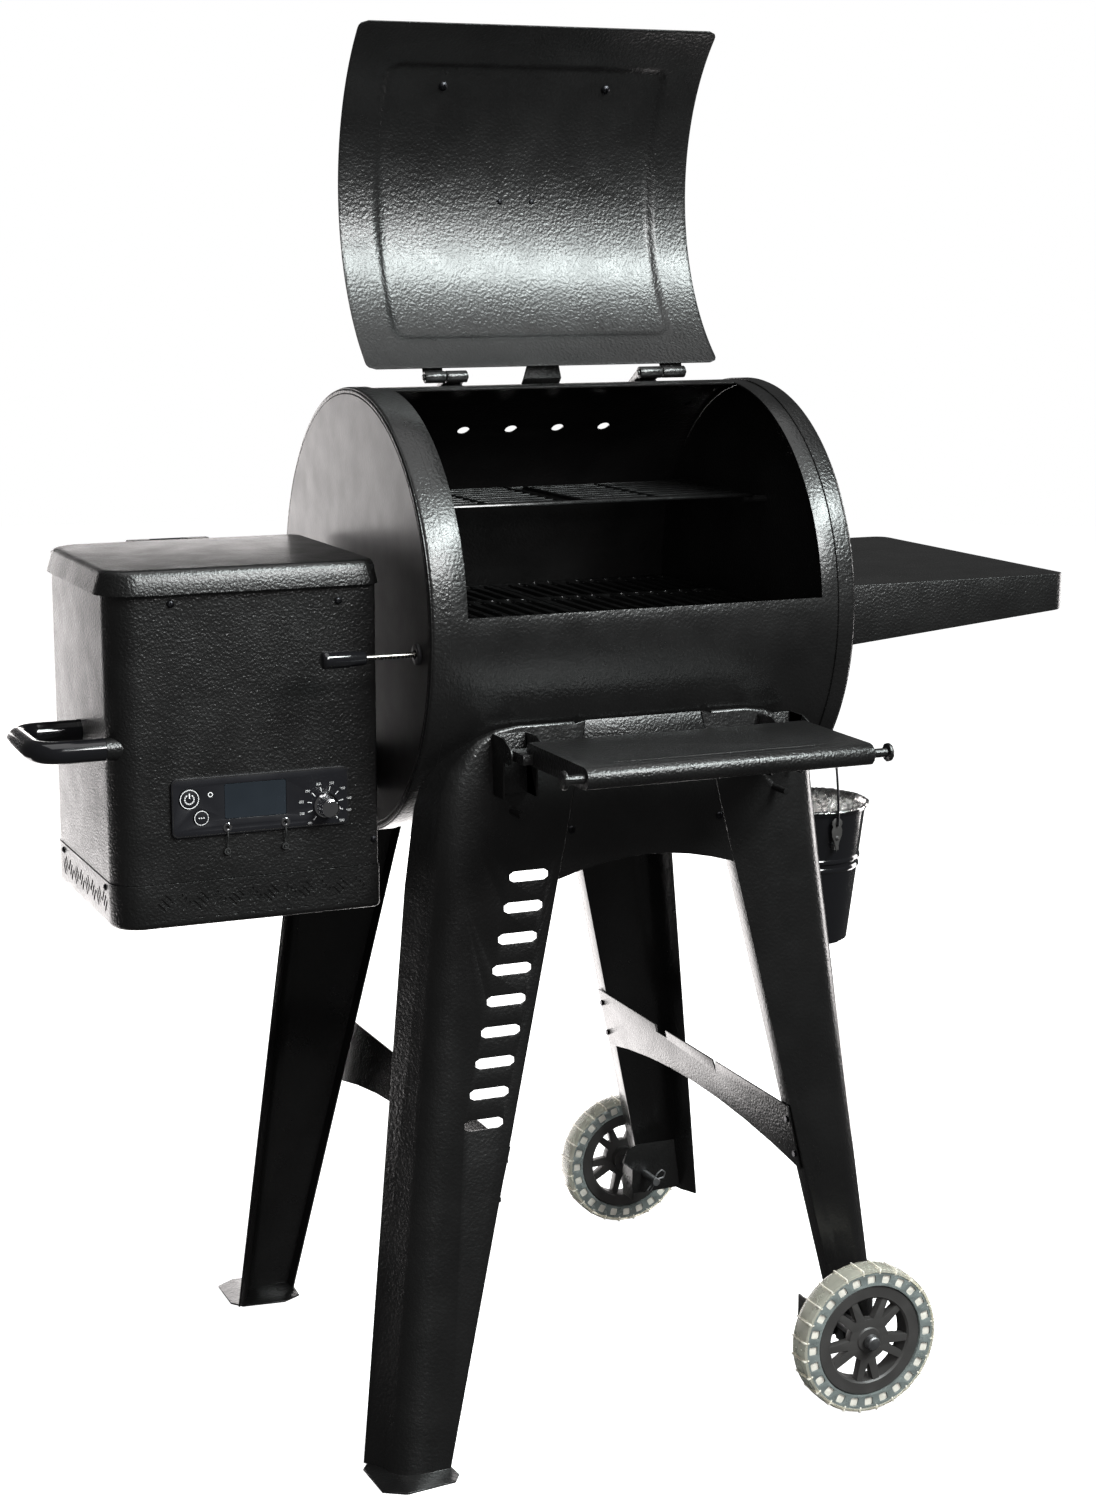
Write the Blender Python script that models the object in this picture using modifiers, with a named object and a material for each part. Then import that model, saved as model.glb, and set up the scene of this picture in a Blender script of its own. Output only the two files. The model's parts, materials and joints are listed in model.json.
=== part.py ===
"""Pellet smoker grill on splayed sheet-metal legs, with a side hopper, two wheels and two shelves.

The design is drawn about the barrel: +X along the barrel towards the side shelf, +Y to the back,
+Z up, floor at z = 0.  One empty then carries every piece, so that the origin of the finished
grill lies on the floor under the middle of its bounding box.  The lid is drawn open.
"""
import math

import bmesh
import bpy
from mathutils import Matrix, Vector

# ---------------------------------------------------------------- driving dimensions (metres)
GAP = 0.0003
AXIS_Z = 0.861
CAP_RADIUS = 0.235
BARREL_RADIUS = 0.2335
BARREL_SHEET = 0.002
BARREL_HALF = 0.238
CAP_SHEET = 0.0012
CAP_FLANGE = 0.0195
BARREL_STEPS = 36
OPENING_HALF = 0.1995
OPENING_REAR = math.radians(-6.3)
OPENING_FRONT = math.radians(-85.4)

LID_HALF = 0.208
LID_RADIUS = 0.2355
LID_SHEET = 0.0015
LID_REAR = math.radians(5.6)
LID_FRONT = math.radians(-93.3)
LID_PIN = Vector((0.0, 0.030, 1.1028))
LID_TRAVEL = math.radians(135.5)
LID_HANDLE_ANGLE = math.radians(-73.8)
LID_HANDLE_STANDOFF = 0.045
LID_POST_X = 0.096

SHEET = 0.002
FRAME_TOP_Z = 0.766
FRAME_TOP_Y = 0.220
FRAME_SPREAD = 0.0525
INNER_TOP = 0.066
INNER_KNEE_Z = 0.610
INNER_KNEE = 0.100
INNER_FOOT = 0.240
LEG_CORNER = 0.085
LEG_BEND = 0.028
LEG_SIDE = 0.050
LEG_RETURN = 0.022
BARREL_CLEARANCE = 0.0015
LEFT_OUTER_FOOT = 0.303
LEFT_OUTER_SLOPE = 0.112
RIGHT_OUTER_FOOT = 0.284
RIGHT_OUTER_SLOPE = 0.118
RIGHT_LEG_END = 0.055
BUMPER_Z = 0.680
FOOT_PAD = 0.002

WHEEL_X = 0.226
WHEEL_RADIUS = 0.082
HUB_RADIUS = 0.062
WHEEL_OUTER_Y = 0.3245
WHEEL_WIDTH = 0.030
AXLE_RADIUS = 0.005

SHELF_PIVOT = Vector((0.0, -0.262, 0.745))
SHELF_FRONT = 0.425
SHELF_HALF = 0.155
SHELF_TOP = 0.760
SHELF_DEPTH = 0.022

SIDE_LEFT = 0.2398
SIDE_RIGHT = 0.526
SIDE_HALF = 0.200
SIDE_TOP = 0.885

HOPPER_LEFT = -0.535
HOPPER_RIGHT = -0.258
HOPPER_FRONT = -0.125
HOPPER_BACK = 0.140
HOPPER_SEAM = 0.6135
HOPPER_BOTTOM = 0.567
HOPPER_TOP = 0.925
HOPPER_LID_TOP = 0.930
HOPPER_PIN = Vector((-0.400, 0.148, 0.925))
HANDLE_X = -0.605
HANDLE_Z = 0.752

AUGER_Z = 0.690
AUGER_TUBE_RADIUS = 0.026
POT_X = 0.030
POT_RADIUS = 0.045
FAN = Vector((-0.330, 0.095, 0.640))

PANEL_X = -0.384
PANEL_Z = 0.690
PANEL_FACE = -0.1285
KNOB = Vector((-0.316, -0.139, 0.681))
POWER = Vector((-0.459, -0.128, 0.699))
PRIME = Vector((-0.447, -0.128, 0.679))
JACKS_X = (-0.420, -0.359)
JACK_Z = 0.667

ROD_Y = -0.199
ROD_Z = 0.842
ROD_RADIUS = 0.004
GRATE_TOP = 0.852
GRATE_FRONT = -0.182
GRATE_BACK = 0.205
RACK_TOP = 0.973
BROILER_Z = 0.760

BUCKET_X = 0.315
RIM_Z = 0.605
RIM_RADIUS = 0.068
BUCKET_BOTTOM = 0.445
SPOUT_Z = 0.735
SPOUT_RADIUS = 0.013
EAR_Y = 0.0725
EAR_Z = 0.592
BAIL_TOP = 0.7505
BUCKET_TAPER = 0.019 / (RIM_Z - BUCKET_BOTTOM)

# the box of the whole grill: handle bar to side shelf, front shelf edge to rear wheel bolt
LEFT_END = HANDLE_X - 0.012
REAR_END = 0.3330
X_MID = (LEFT_END + SIDE_RIGHT) / 2
Y_MID = (REAR_END - SHELF_FRONT) / 2

# ---------------------------------------------------------------- finishes: colour, metallic, roughness
BLACK_COAT = ((0.018, 0.018, 0.020), 0.3, 0.38)
INNER_COAT = ((0.030, 0.030, 0.032), 0.3, 0.55)
GLOSS_BLACK = ((0.010, 0.010, 0.012), 0.0, 0.15)
STEEL = ((0.55, 0.55, 0.56), 1.0, 0.35)
CHROME = ((0.80, 0.80, 0.82), 1.0, 0.08)
ZINC = ((0.50, 0.51, 0.52), 1.0, 0.40)
IRON = ((0.025, 0.025, 0.026), 0.4, 0.45)
PLASTIC = ((0.015, 0.015, 0.015), 0.0, 0.45)
CLEAR_TYRE = ((0.72, 0.71, 0.62), 0.0, 0.20)
FOIL = ((0.82, 0.82, 0.83), 1.0, 0.22)
DISPLAY = ((0.16, 0.18, 0.20), 0.0, 0.10)
CIRCUIT = ((0.02, 0.12, 0.05), 0.0, 0.50)


# ---------------------------------------------------------------- scene
for leftover in list(bpy.data.objects):
    bpy.data.objects.remove(leftover, do_unlink=True)

grill = bpy.data.collections.new("pellet_smoker_grill")
tools = bpy.data.collections.new("cutters")
bpy.context.scene.collection.children.link(grill)
bpy.context.scene.collection.children.link(tools)

carrier = bpy.data.objects.new("grill_origin", None)
carrier.location = (-X_MID, -Y_MID, 0.0)
grill.objects.link(carrier)


# ---------------------------------------------------------------- shape makers: each returns a closed mesh
def cleaned(bm):
    """Weld the bmesh, turn its faces outward and give it back as a mesh."""
    bmesh.ops.remove_doubles(bm, verts=bm.verts, dist=0.00001)
    bmesh.ops.recalc_face_normals(bm, faces=bm.faces)
    mesh = bpy.data.meshes.new("shape")
    bm.to_mesh(mesh)
    bm.free()
    return mesh


def evaluated(data, matrix=Matrix.Identity(4), modifiers=()):
    """Evaluate curve or mesh data with (type, settings) modifiers into a clean mesh."""
    maker = bpy.data.objects.new("maker", data)
    bpy.context.scene.collection.objects.link(maker)
    for kind, settings in modifiers:
        modifier = maker.modifiers.new(kind.lower(), kind)
        for key, value in settings.items():
            setattr(modifier, key, value)
    graph = bpy.context.evaluated_depsgraph_get()
    mesh = bpy.data.meshes.new_from_object(maker.evaluated_get(graph))
    bpy.data.objects.remove(maker, do_unlink=True)
    bm = bmesh.new()
    bm.from_mesh(mesh)
    bm.transform(matrix)
    return cleaned(bm)


def box(low, high):
    bm = bmesh.new()
    bmesh.ops.create_cube(bm, size=1.0)
    low = Vector(low)
    high = Vector(high)
    size = high - low
    bm.transform(Matrix.Translation((low + high) / 2) @ Matrix.Diagonal((*size, 1.0)))
    return cleaned(bm)


def along(direction):
    """Rotation that takes local +Z to a direction."""
    return Vector((0.0, 0.0, 1.0)).rotation_difference(Vector(direction)).to_matrix().to_4x4()


def rod(start, end, radius, sides=16, end_radius=None):
    start = Vector(start)
    end = Vector(end)
    tip = radius if end_radius is None else end_radius
    bm = bmesh.new()
    bmesh.ops.create_cone(
        bm, cap_ends=True, segments=sides, radius1=radius, radius2=tip, depth=(end - start).length
    )
    bm.transform(Matrix.Translation((start + end) / 2) @ along(end - start))
    return cleaned(bm)


def turned(profile, origin, axis, steps=32):
    """Turn a closed (radius, height) profile about an axis through origin."""
    data = bpy.data.meshes.new("profile")
    points = [(radius, 0.0, height) for radius, height in profile]
    edges = []
    for i, (radius, _) in enumerate(profile):
        following = (i + 1) % len(profile)
        if radius > 0.0 or profile[following][0] > 0.0:
            edges.append((i, following))
    data.from_pydata(points, edges, [])
    screw = {
        "steps": steps,
        "render_steps": steps,
        "use_merge_vertices": True,
        "merge_threshold": 0.00001,
    }
    matrix = Matrix.Translation(origin) @ along(axis)
    return evaluated(data, matrix, [("SCREW", screw)])


def plate(outline, thickness, origin, right, up, holes=()):
    """Fill a flat outline and thicken it evenly about the plane through origin."""
    data = bpy.data.curves.new("outline", "CURVE")
    data.dimensions = "2D"
    data.fill_mode = "BOTH"
    data.extrude = thickness / 2
    for ring in (outline, *holes):
        spline = data.splines.new("POLY")
        spline.points.add(len(ring) - 1)
        for point, (u, v) in zip(spline.points, ring):
            point.co = (u, v, 0.0, 1.0)
        spline.use_cyclic_u = True
    right = Vector(right)
    up = Vector(up)
    turn = Matrix((right, up, right.cross(up))).transposed().to_4x4()
    return evaluated(data, Matrix.Translation(origin) @ turn)


def tube(points, radius, resolution=2):
    data = bpy.data.curves.new("path", "CURVE")
    data.dimensions = "3D"
    data.bevel_depth = radius
    data.bevel_resolution = resolution
    data.use_fill_caps = True
    spline = data.splines.new("POLY")
    spline.points.add(len(points) - 1)
    for point, place in zip(spline.points, points):
        point.co = (*place, 1.0)
    return evaluated(data)


def sheet(rows, thickness, offset=-1.0):
    """Skin a grid of points and thicken it with even walls."""
    across = len(rows[0])
    points = [tuple(p) for row in rows for p in row]
    faces = []
    for r in range(len(rows) - 1):
        for c in range(across - 1):
            a = r * across + c
            faces.append((a, a + 1, a + across + 1, a + across))
    data = bpy.data.meshes.new("skin")
    data.from_pydata(points, [], faces)
    solid = {"thickness": thickness, "offset": offset, "use_even_offset": True}
    return evaluated(data, modifiers=[("SOLIDIFY", solid)])


def upright(outline, low, high, holes=()):
    return plate(outline, high - low, (0, 0, (low + high) / 2), (1, 0, 0), (0, 1, 0), holes)


def turned_copy(mesh, matrix):
    bm = bmesh.new()
    bm.from_mesh(mesh)
    bm.transform(matrix)
    if matrix.determinant() < 0:
        bmesh.ops.reverse_faces(bm, faces=bm.faces)
    copy = bpy.data.meshes.new("copy")
    bm.to_mesh(copy)
    bm.free()
    return copy


MIRROR_X = Matrix.Diagonal((-1.0, 1.0, 1.0, 1.0))
MIRROR_Y = Matrix.Diagonal((1.0, -1.0, 1.0, 1.0))


def both_sides(mesh, mirror=MIRROR_X):
    return [mesh, turned_copy(mesh, mirror)]


# ---------------------------------------------------------------- objects
def joined(meshes):
    bm = bmesh.new()
    for mesh in meshes:
        bm.from_mesh(mesh)
    data = bpy.data.meshes.new("solid")
    bm.to_mesh(data)
    bm.free()
    return data


def finish(name, look):
    colour, metallic, roughness = look
    material = bpy.data.materials.new(name)
    material.use_nodes = True
    shader = material.node_tree.nodes["Principled BSDF"]
    shader.inputs["Base Color"].default_value = (*colour, 1.0)
    shader.inputs["Metallic"].default_value = metallic
    shader.inputs["Roughness"].default_value = roughness
    return material


def piece(name, look, meshes, pivot=(0.0, 0.0, 0.0)):
    """One named sub-part; a moving one has its origin on its joint's axis."""
    data = joined(meshes)
    data.transform(Matrix.Translation(-Vector(pivot)))
    data.shade_smooth()
    data.set_sharp_from_angle(angle=math.radians(35.0))
    data.materials.append(finish(name, look))
    part = bpy.data.objects.new(name, data)
    part.location = pivot
    part.parent = carrier
    grill.objects.link(part)
    return part


def boolean(part, operation, meshes):
    for mesh in meshes:
        tool = bpy.data.objects.new(part.name + "_tool", mesh)
        tool.parent = carrier
        tool.hide_render = True
        tool.display_type = "WIRE"
        tools.objects.link(tool)
        modifier = part.modifiers.new(operation.lower(), "BOOLEAN")
        modifier.operation = operation
        modifier.solver = "EXACT"
        modifier.object = tool


def cut(part, *meshes):
    boolean(part, "DIFFERENCE", meshes)


def weld(part, *meshes):
    boolean(part, "UNION", meshes)


# ---------------------------------------------------------------- outlines
def arc(centre, radius, start, end, steps):
    """Points on an arc, angles in degrees, both ends included."""
    points = []
    for i in range(steps + 1):
        angle = math.radians(start + (end - start) * i / steps)
        points.append((centre[0] + radius * math.cos(angle), centre[1] + radius * math.sin(angle)))
    return points


def rounded_box(left, right, low, high, radii, steps=4):
    """Rectangle outline; radii go anticlockwise from the lower left corner."""
    corners = ((left, low, 180.0), (right, low, 270.0), (right, high, 0.0), (left, high, 90.0))
    outline = []
    for (u, v, start), radius in zip(corners, radii):
        inward_u = radius if u == left else -radius
        inward_v = radius if v == low else -radius
        outline += arc((u + inward_u, v + inward_v), radius, start, start + 90.0, steps)
    return outline


def capsule(centre, length, width, steps):
    """Level slot outline with round ends."""
    half = (length - width) / 2
    points = arc((centre[0] + half, centre[1]), width / 2, -90.0, 90.0, steps)
    points += arc((centre[0] - half, centre[1]), width / 2, 90.0, 270.0, steps)
    return points


def on_barrel(x, angle, radius):
    """Point at an angle from the top of the barrel, negative towards the front."""
    return Vector((x, radius * math.sin(angle), AXIS_Z + radius * math.cos(angle)))


def frame_y(z):
    """Distance of the legs' face from the barrel's middle plane at a height."""
    return FRAME_TOP_Y + FRAME_SPREAD * (FRAME_TOP_Z - z) / FRAME_TOP_Z


def room_behind(z):
    """Depth free behind the legs' face before the barrel at a height."""
    reach = CAP_RADIUS + BARREL_CLEARANCE
    rise = AXIS_Z - z
    if rise > reach:
        return frame_y(z)
    return frame_y(z) - math.sqrt(reach * reach - rise * rise)


def inner_edge(z):
    """Half the clear width between a left and a right leg at a height."""
    if z > INNER_KNEE_Z:
        share = (FRAME_TOP_Z - z) / (FRAME_TOP_Z - INNER_KNEE_Z)
        return INNER_TOP + (INNER_KNEE - INNER_TOP) * share
    return INNER_KNEE + (INNER_FOOT - INNER_KNEE) * (INNER_KNEE_Z - z) / INNER_KNEE_Z


# ---------------------------------------------------------------- barrel
BARREL_CENTRE = (0.0, 0.0, AXIS_Z)
ALONG_X = (1.0, 0.0, 0.0)


def make_barrel():
    inside = BARREL_RADIUS - BARREL_SHEET
    wall = [
        (BARREL_RADIUS, BARREL_HALF),
        (BARREL_RADIUS, -BARREL_HALF),
        (inside, -BARREL_HALF),
        (inside, BARREL_HALF),
    ]
    shell = piece("barrel_shell", BLACK_COAT, [turned(wall, BARREL_CENTRE, ALONG_X, BARREL_STEPS)])
    wedge = [(0.0, 0.0)]
    for i in range(5):
        angle = OPENING_REAR + (OPENING_FRONT - OPENING_REAR) * i / 4
        wedge.append((0.32 * math.sin(angle), 0.32 * math.cos(angle)))
    opening = plate(wedge, 2 * OPENING_HALF, BARREL_CENTRE, (0, 1, 0), (0, 0, 1))
    vents = []
    for i in range(5):
        x = -0.109 + 0.058 * i
        start = on_barrel(x, math.radians(41.3), 0.21)
        end = on_barrel(x, math.radians(41.3), 0.25)
        vents.append(rod(start, end, 0.007, 10))
    cut(shell, opening, *vents)
    under = GRATE_TOP - 0.010 - GAP
    rear_wall = BARREL_RADIUS - BARREL_SHEET / 2 - 0.0009
    weld(shell, box((-0.236, GRATE_BACK - 0.008, under - SHEET), (0.236, rear_wall, under)))
    weld(shell, box((-0.100, -rear_wall + 0.002, 0.8260), (0.236, GRATE_FRONT + 0.006, 0.8280)))
    weld(shell, box((-0.100, GRATE_FRONT + 0.004, 0.8260), (0.236, GRATE_FRONT + 0.006, under)))


def end_cap(name, side):
    face = BARREL_HALF + GAP + CAP_SHEET
    rim = BARREL_RADIUS + GAP
    profile = [
        (0.0, face),
        (CAP_RADIUS - 0.002, face),
        (CAP_RADIUS, face - 0.002),
        (CAP_RADIUS, BARREL_HALF - CAP_FLANGE),
        (rim, BARREL_HALF - CAP_FLANGE),
        (rim, BARREL_HALF + GAP),
        (0.0, BARREL_HALF + GAP),
    ]
    mesh = turned(profile, BARREL_CENTRE, ALONG_X, BARREL_STEPS)
    if side < 0:
        mesh = turned_copy(mesh, MIRROR_X)
    return piece(name, BLACK_COAT, [mesh])


def rack_pegs(cap, side):
    """Pegs that carry the upper rack, welded to the inside of an end cap."""
    z = RACK_TOP - 0.005 - GAP - 0.004
    for y in (-0.030, 0.110):
        weld(cap, rod((side * 0.2100, y, z), (side * (BARREL_HALF + 0.001), y, z), 0.004, 10))


def make_end_caps():
    left = end_cap("left_end_cap", -1)
    rack_pegs(left, -1)
    auger_hole = rod((-0.26, 0, AUGER_Z), (-0.22, 0, AUGER_Z), AUGER_TUBE_RADIUS + 2 * GAP, 20)
    lever_hole = rod((-0.26, ROD_Y, ROD_Z), (-0.22, ROD_Y, ROD_Z), 0.0075, 16)
    cut(left, auger_hole, lever_hole)
    right = end_cap("right_end_cap", 1)
    rack_pegs(right, 1)
    cut(right, rod((0.22, 0, SPOUT_Z), (0.26, 0, SPOUT_Z), SPOUT_RADIUS + GAP, 20))


# ---------------------------------------------------------------- lid and its hinge
def opening():
    """Turn about the hinge pin that takes the closed lid to the open position."""
    place = Matrix.Translation(LID_PIN)
    return place @ Matrix.Rotation(-LID_TRAVEL, 4, "X") @ place.inverted()


def opened(mesh):
    return turned_copy(mesh, opening())


def make_lid():
    rows = []
    steps = 20
    for i in range(steps + 1):
        angle = LID_REAR + (LID_FRONT - LID_REAR) * i / steps
        rows.append([on_barrel(x, angle, LID_RADIUS) for x in (-LID_HALF, LID_HALF)])
    piece("lid_sheet", BLACK_COAT, [opened(sheet(rows, LID_SHEET, -1.0))], LID_PIN)

    reach = LID_RADIUS + LID_SHEET + GAP
    bar_at = reach + LID_HANDLE_STANDOFF
    bar = tube([on_barrel(x, LID_HANDLE_ANGLE, bar_at) for x in (-0.125, 0.125)], 0.010, 4)
    handle = piece("lid_handle", BLACK_COAT, [opened(bar)], LID_PIN)
    for x in (-LID_POST_X, LID_POST_X):
        start = on_barrel(x, LID_HANDLE_ANGLE, reach)
        end = on_barrel(x, LID_HANDLE_ANGLE, bar_at)
        weld(handle, opened(rod(start, end, 0.007, 12)))


def ring(x_low, x_high, outer, inner, centre, steps=16):
    """Knuckle: a short sleeve along X about a centre (y, z)."""
    half = (x_high - x_low) / 2
    profile = [(outer, half), (outer, -half), (inner, -half), (inner, half)]
    return turned(profile, ((x_low + x_high) / 2, *centre), ALONG_X, steps)


# each hinge: name, lid knuckle and barrel knuckle as spans along X
HINGES = (
    ("left", (-0.144, -0.121), (-0.1195, -0.096)),
    ("right", (0.138, 0.165), (0.110, 0.1365)),
)
KNUCKLE_RADIUS = 0.0065


def lid_leaf(name, low, high):
    """Knuckle on the pin, with a strap up to the back of the open lid."""
    knuckle = ring(low, high, KNUCKLE_RADIUS, 0.0034, (LID_PIN.y, LID_PIN.z))
    leaf = piece(name, BLACK_COAT, [knuckle], LID_PIN)
    rows = []
    for y, z in ((0.0036, 0.0036), (0.0062, 0.0098)):
        rows.append([(x, LID_PIN.y + y, LID_PIN.z + z) for x in (low, high)])
    reach = LID_RADIUS + LID_SHEET + 2 * GAP
    for degrees in (3.5, 6.5, 9.5):
        angle = LID_REAR - math.radians(degrees)
        rows.append([opening() @ on_barrel(x, angle, reach) for x in (low, high)])
    weld(leaf, sheet(rows, 0.0020, -1.0))


def barrel_leaf(name, low, high, lid_span):
    """Solid knuckle that holds the pin, with a web down to a foot on the barrel's top."""
    centre = (LID_PIN.y, LID_PIN.z)
    leaf = piece(name, BLACK_COAT, [rod((low, *centre), (high, *centre), KNUCKLE_RADIUS, 16)])
    pin_low = min(low, lid_span[0]) - 0.002
    pin_high = max(high, lid_span[1]) + 0.002
    pin = rod((pin_low, *centre), (pin_high, *centre), 0.003, 12)
    reach = BARREL_RADIUS + GAP
    rows = []
    for degrees in (10.0, 12.8, 15.6, 18.4):
        rows.append([on_barrel(x, math.radians(degrees), reach) for x in (low, high)])
    foot = sheet(rows, 0.0025, 1.0)
    outline = [(0.0, -0.004), (0.004, 0.004), (0.030, -0.0125), (0.034, -0.0155), (0.016, -0.0105)]
    middle = ((low + high) / 2, *centre)
    web = plate(outline, high - low, middle, (0, 1, 0), (0, 0, 1))
    weld(leaf, pin, foot, web)


def make_lid_hinges():
    for side, lid_span, barrel_span in HINGES:
        lid_leaf(side + "_lid_hinge", *lid_span)
        barrel_leaf(side + "_barrel_hinge", *barrel_span, lid_span)


def make_lid_stop():
    """Bent plate on the barrel top that the open lid leans on."""
    rows = []
    for y, z in ((0.070, 1.0842), (0.052, 1.0895), (0.0445, 1.098), (0.0425, 1.118)):
        half = 0.0225 - 0.25 * max(0.0, z - 1.098)
        rows.append([(-half, y, z), (half, y, z)])
    piece("lid_stop_bracket", BLACK_COAT, [sheet(rows, SHEET, -1.0)])


# ---------------------------------------------------------------- leg frame
def leg_sections(outer_foot, slope, foot_z):
    """Stations up a left leg: height on the inner edge, outer point, its outward turn, and the
    share of the full bend and side depth left there."""
    side_top = FRAME_TOP_Z - LEG_CORNER
    centre = (outer_foot - slope * side_top - LEG_CORNER, side_top)
    outline = [(outer_foot - slope * z, z) for z in (foot_z, 0.30, 0.60)]
    turns = [0.0, 0.0, 0.0]
    outline += arc(centre, LEG_CORNER, 0.0, 90.0, 6)
    turns += [math.radians(15.0 * i) for i in range(7)]
    outline.append((INNER_TOP + 0.012, FRAME_TOP_Z))
    turns.append(math.radians(90.0))
    inner = [foot_z, 0.30, INNER_KNEE_Z]
    above = len(outline) - len(inner)
    for i in range(above):
        inner.append(INNER_KNEE_Z + (FRAME_TOP_Z - INNER_KNEE_Z) * (i + 1) / above)
    shares = [1.0 - 0.88 * max(0, i - 2) / above for i in range(len(outline))]
    return list(zip(inner, outline, turns, shares))


def leg_mesh(outer_foot, slope, foot_z, splay):
    """Folded channel of a front left leg: return flange, face, bend and side."""
    rows = []
    for inner_z, (outer_x, outer_z), turn, share in leg_sections(outer_foot, slope, foot_z):
        inner_x = -inner_edge(inner_z)
        inner_y = -frame_y(inner_z)
        flange = min(LEG_RETURN, room_behind(inner_z))
        row = [(inner_x, inner_y + flange, inner_z), (inner_x, inner_y, inner_z)]
        depth = min(LEG_SIDE * share, room_behind(outer_z))
        bend = min(LEG_BEND * share, 0.8 * depth)
        for i in range(5):
            angle = math.radians(22.5 * i)
            inward = bend * (1 - math.sin(angle))
            x = outer_x - inward * math.cos(turn)
            z = outer_z - inward * math.sin(turn)
            row.append((-x, bend * (1 - math.cos(angle)) - frame_y(z), z))
        flare = splay * depth * math.cos(turn)
        row.append((-outer_x - flare, depth - frame_y(outer_z), outer_z))
        rows.append(row)
    return sheet(rows, SHEET, 1.0)


def slot_cutters():
    """Plain rounded slots down the face of the front left leg."""
    cutters = []
    for i in range(9):
        z = 0.360 + 0.0315 * i
        x = -(inner_edge(z) + 0.034)
        outline = capsule((x, z), 0.044, 0.011, 3)
        cutters.append(plate(outline, 0.05, (0, -frame_y(z), 0), (1, 0, 0), (0, 0, 1)))
    return cutters


def foot_pad():
    """Ground plate under the front left leg, its outer corners cut off."""
    outline = [(-0.322, -0.292), (-0.300, -0.306), (-0.245, -0.300), (-0.236, -0.286)]
    outline += [(-0.240, -0.228), (-0.262, -0.216), (-0.312, -0.222), (-0.323, -0.236)]
    return plate(outline, FOOT_PAD, (0, 0, FOOT_PAD / 2), (1, 0, 0), (0, 1, 0))


def bumper_peg(side):
    """Stud on a front leg that the folded shelf leans on."""
    start = SHEET - frame_y(BUMPER_Z)
    return rod((side * 0.150, start - 0.001, BUMPER_Z), (side * 0.150, -0.2530, BUMPER_Z), 0.0035, 12)


def wheel_bracket(side):
    """Bent plate inside a right leg's lower end that carries the axle."""
    outline = rounded_box(0.196, 0.275, 0.058, 0.122, (0.004, 0.004, 0.004, 0.020), 2)
    hole = arc((WHEEL_X, WHEEL_RADIUS), AXLE_RADIUS + 0.0004, 0.0, 330.0, 11)
    face = plate(outline, SHEET, (0, side * 0.243, 0), (1, 0, 0), (0, 0, 1), [hole])
    ys = sorted((side * 0.2425, side * 0.216))
    return face, box((0.196, ys[0], 0.060), (0.198, ys[1], 0.100))


def make_legs():
    left = leg_mesh(LEFT_OUTER_FOOT, LEFT_OUTER_SLOPE, FOOT_PAD / 2, 0.30)
    right = leg_mesh(RIGHT_OUTER_FOOT, RIGHT_OUTER_SLOPE, RIGHT_LEG_END, 0.20)
    right = turned_copy(right, MIRROR_X)
    pad = foot_pad()
    front_left = piece("front_left_leg", BLACK_COAT, [left])
    cut(front_left, *slot_cutters())
    weld(front_left, pad, bumper_peg(-1))
    rear_left = piece("rear_left_leg", BLACK_COAT, [turned_copy(left, MIRROR_Y)])
    weld(rear_left, turned_copy(pad, MIRROR_Y))
    for name, side in (("front_right_leg", -1), ("rear_right_leg", 1)):
        mesh = right if side < 0 else turned_copy(right, MIRROR_Y)
        leg = piece(name, BLACK_COAT, [mesh])
        near = (WHEEL_X, side * 0.2443, WHEEL_RADIUS)
        far = (WHEEL_X, side * 0.29, WHEEL_RADIUS)
        cut(leg, rod(near, far, 0.0105, 16))
        weld(leg, *wheel_bracket(side))
        if side < 0:
            weld(leg, bumper_peg(1))


def make_aprons():
    """Panels between the legs under the barrel, with an arched lower edge and a top lip."""
    rows = []
    for i in range(9):
        share = -1 + 2 * i / 8
        low = 0.605 + 0.017 * (1 - share * share)
        row = []
        for z in (low, 0.680, 0.750):
            row.append((share * (inner_edge(z) - 0.0006), -frame_y(z), z))
        row.append((share * (INNER_TOP - 0.0006), -0.2182, FRAME_TOP_Z))
        rows.append(row)
    front = sheet(rows, SHEET, 1.0)
    piece("front_apron", BLACK_COAT, [front])
    piece("rear_apron", BLACK_COAT, [turned_copy(front, MIRROR_Y)])


def end_brace():
    """Plate across the right pair of legs, leaning with their return flanges."""
    rows = []
    for i in range(9):
        share = -1 + 2 * i / 8
        low = 0.258 + 0.026 * (1 - share * share)
        row = []
        for z in (low, 0.300, 0.332):
            row.append((inner_edge(z) - GAP - 0.0003, 0.247 * share, z))
        rows.append(row)
    return sheet(rows, SHEET, 1.0)


def make_braces():
    hook = box((-0.30, 0.055, 0.322), (0.30, 0.083, 0.36))
    outline = [(-0.065, 0.345), (-0.078, 0.345), (-0.070, 0.318)]
    notch = plate(outline, 0.60, (0, 0, 0), (0, 1, 0), (0, 0, 1))
    for name, mesh in zip(("right_end_brace", "left_end_brace"), both_sides(end_brace())):
        cut(piece(name, BLACK_COAT, [mesh]), hook, notch)


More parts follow.
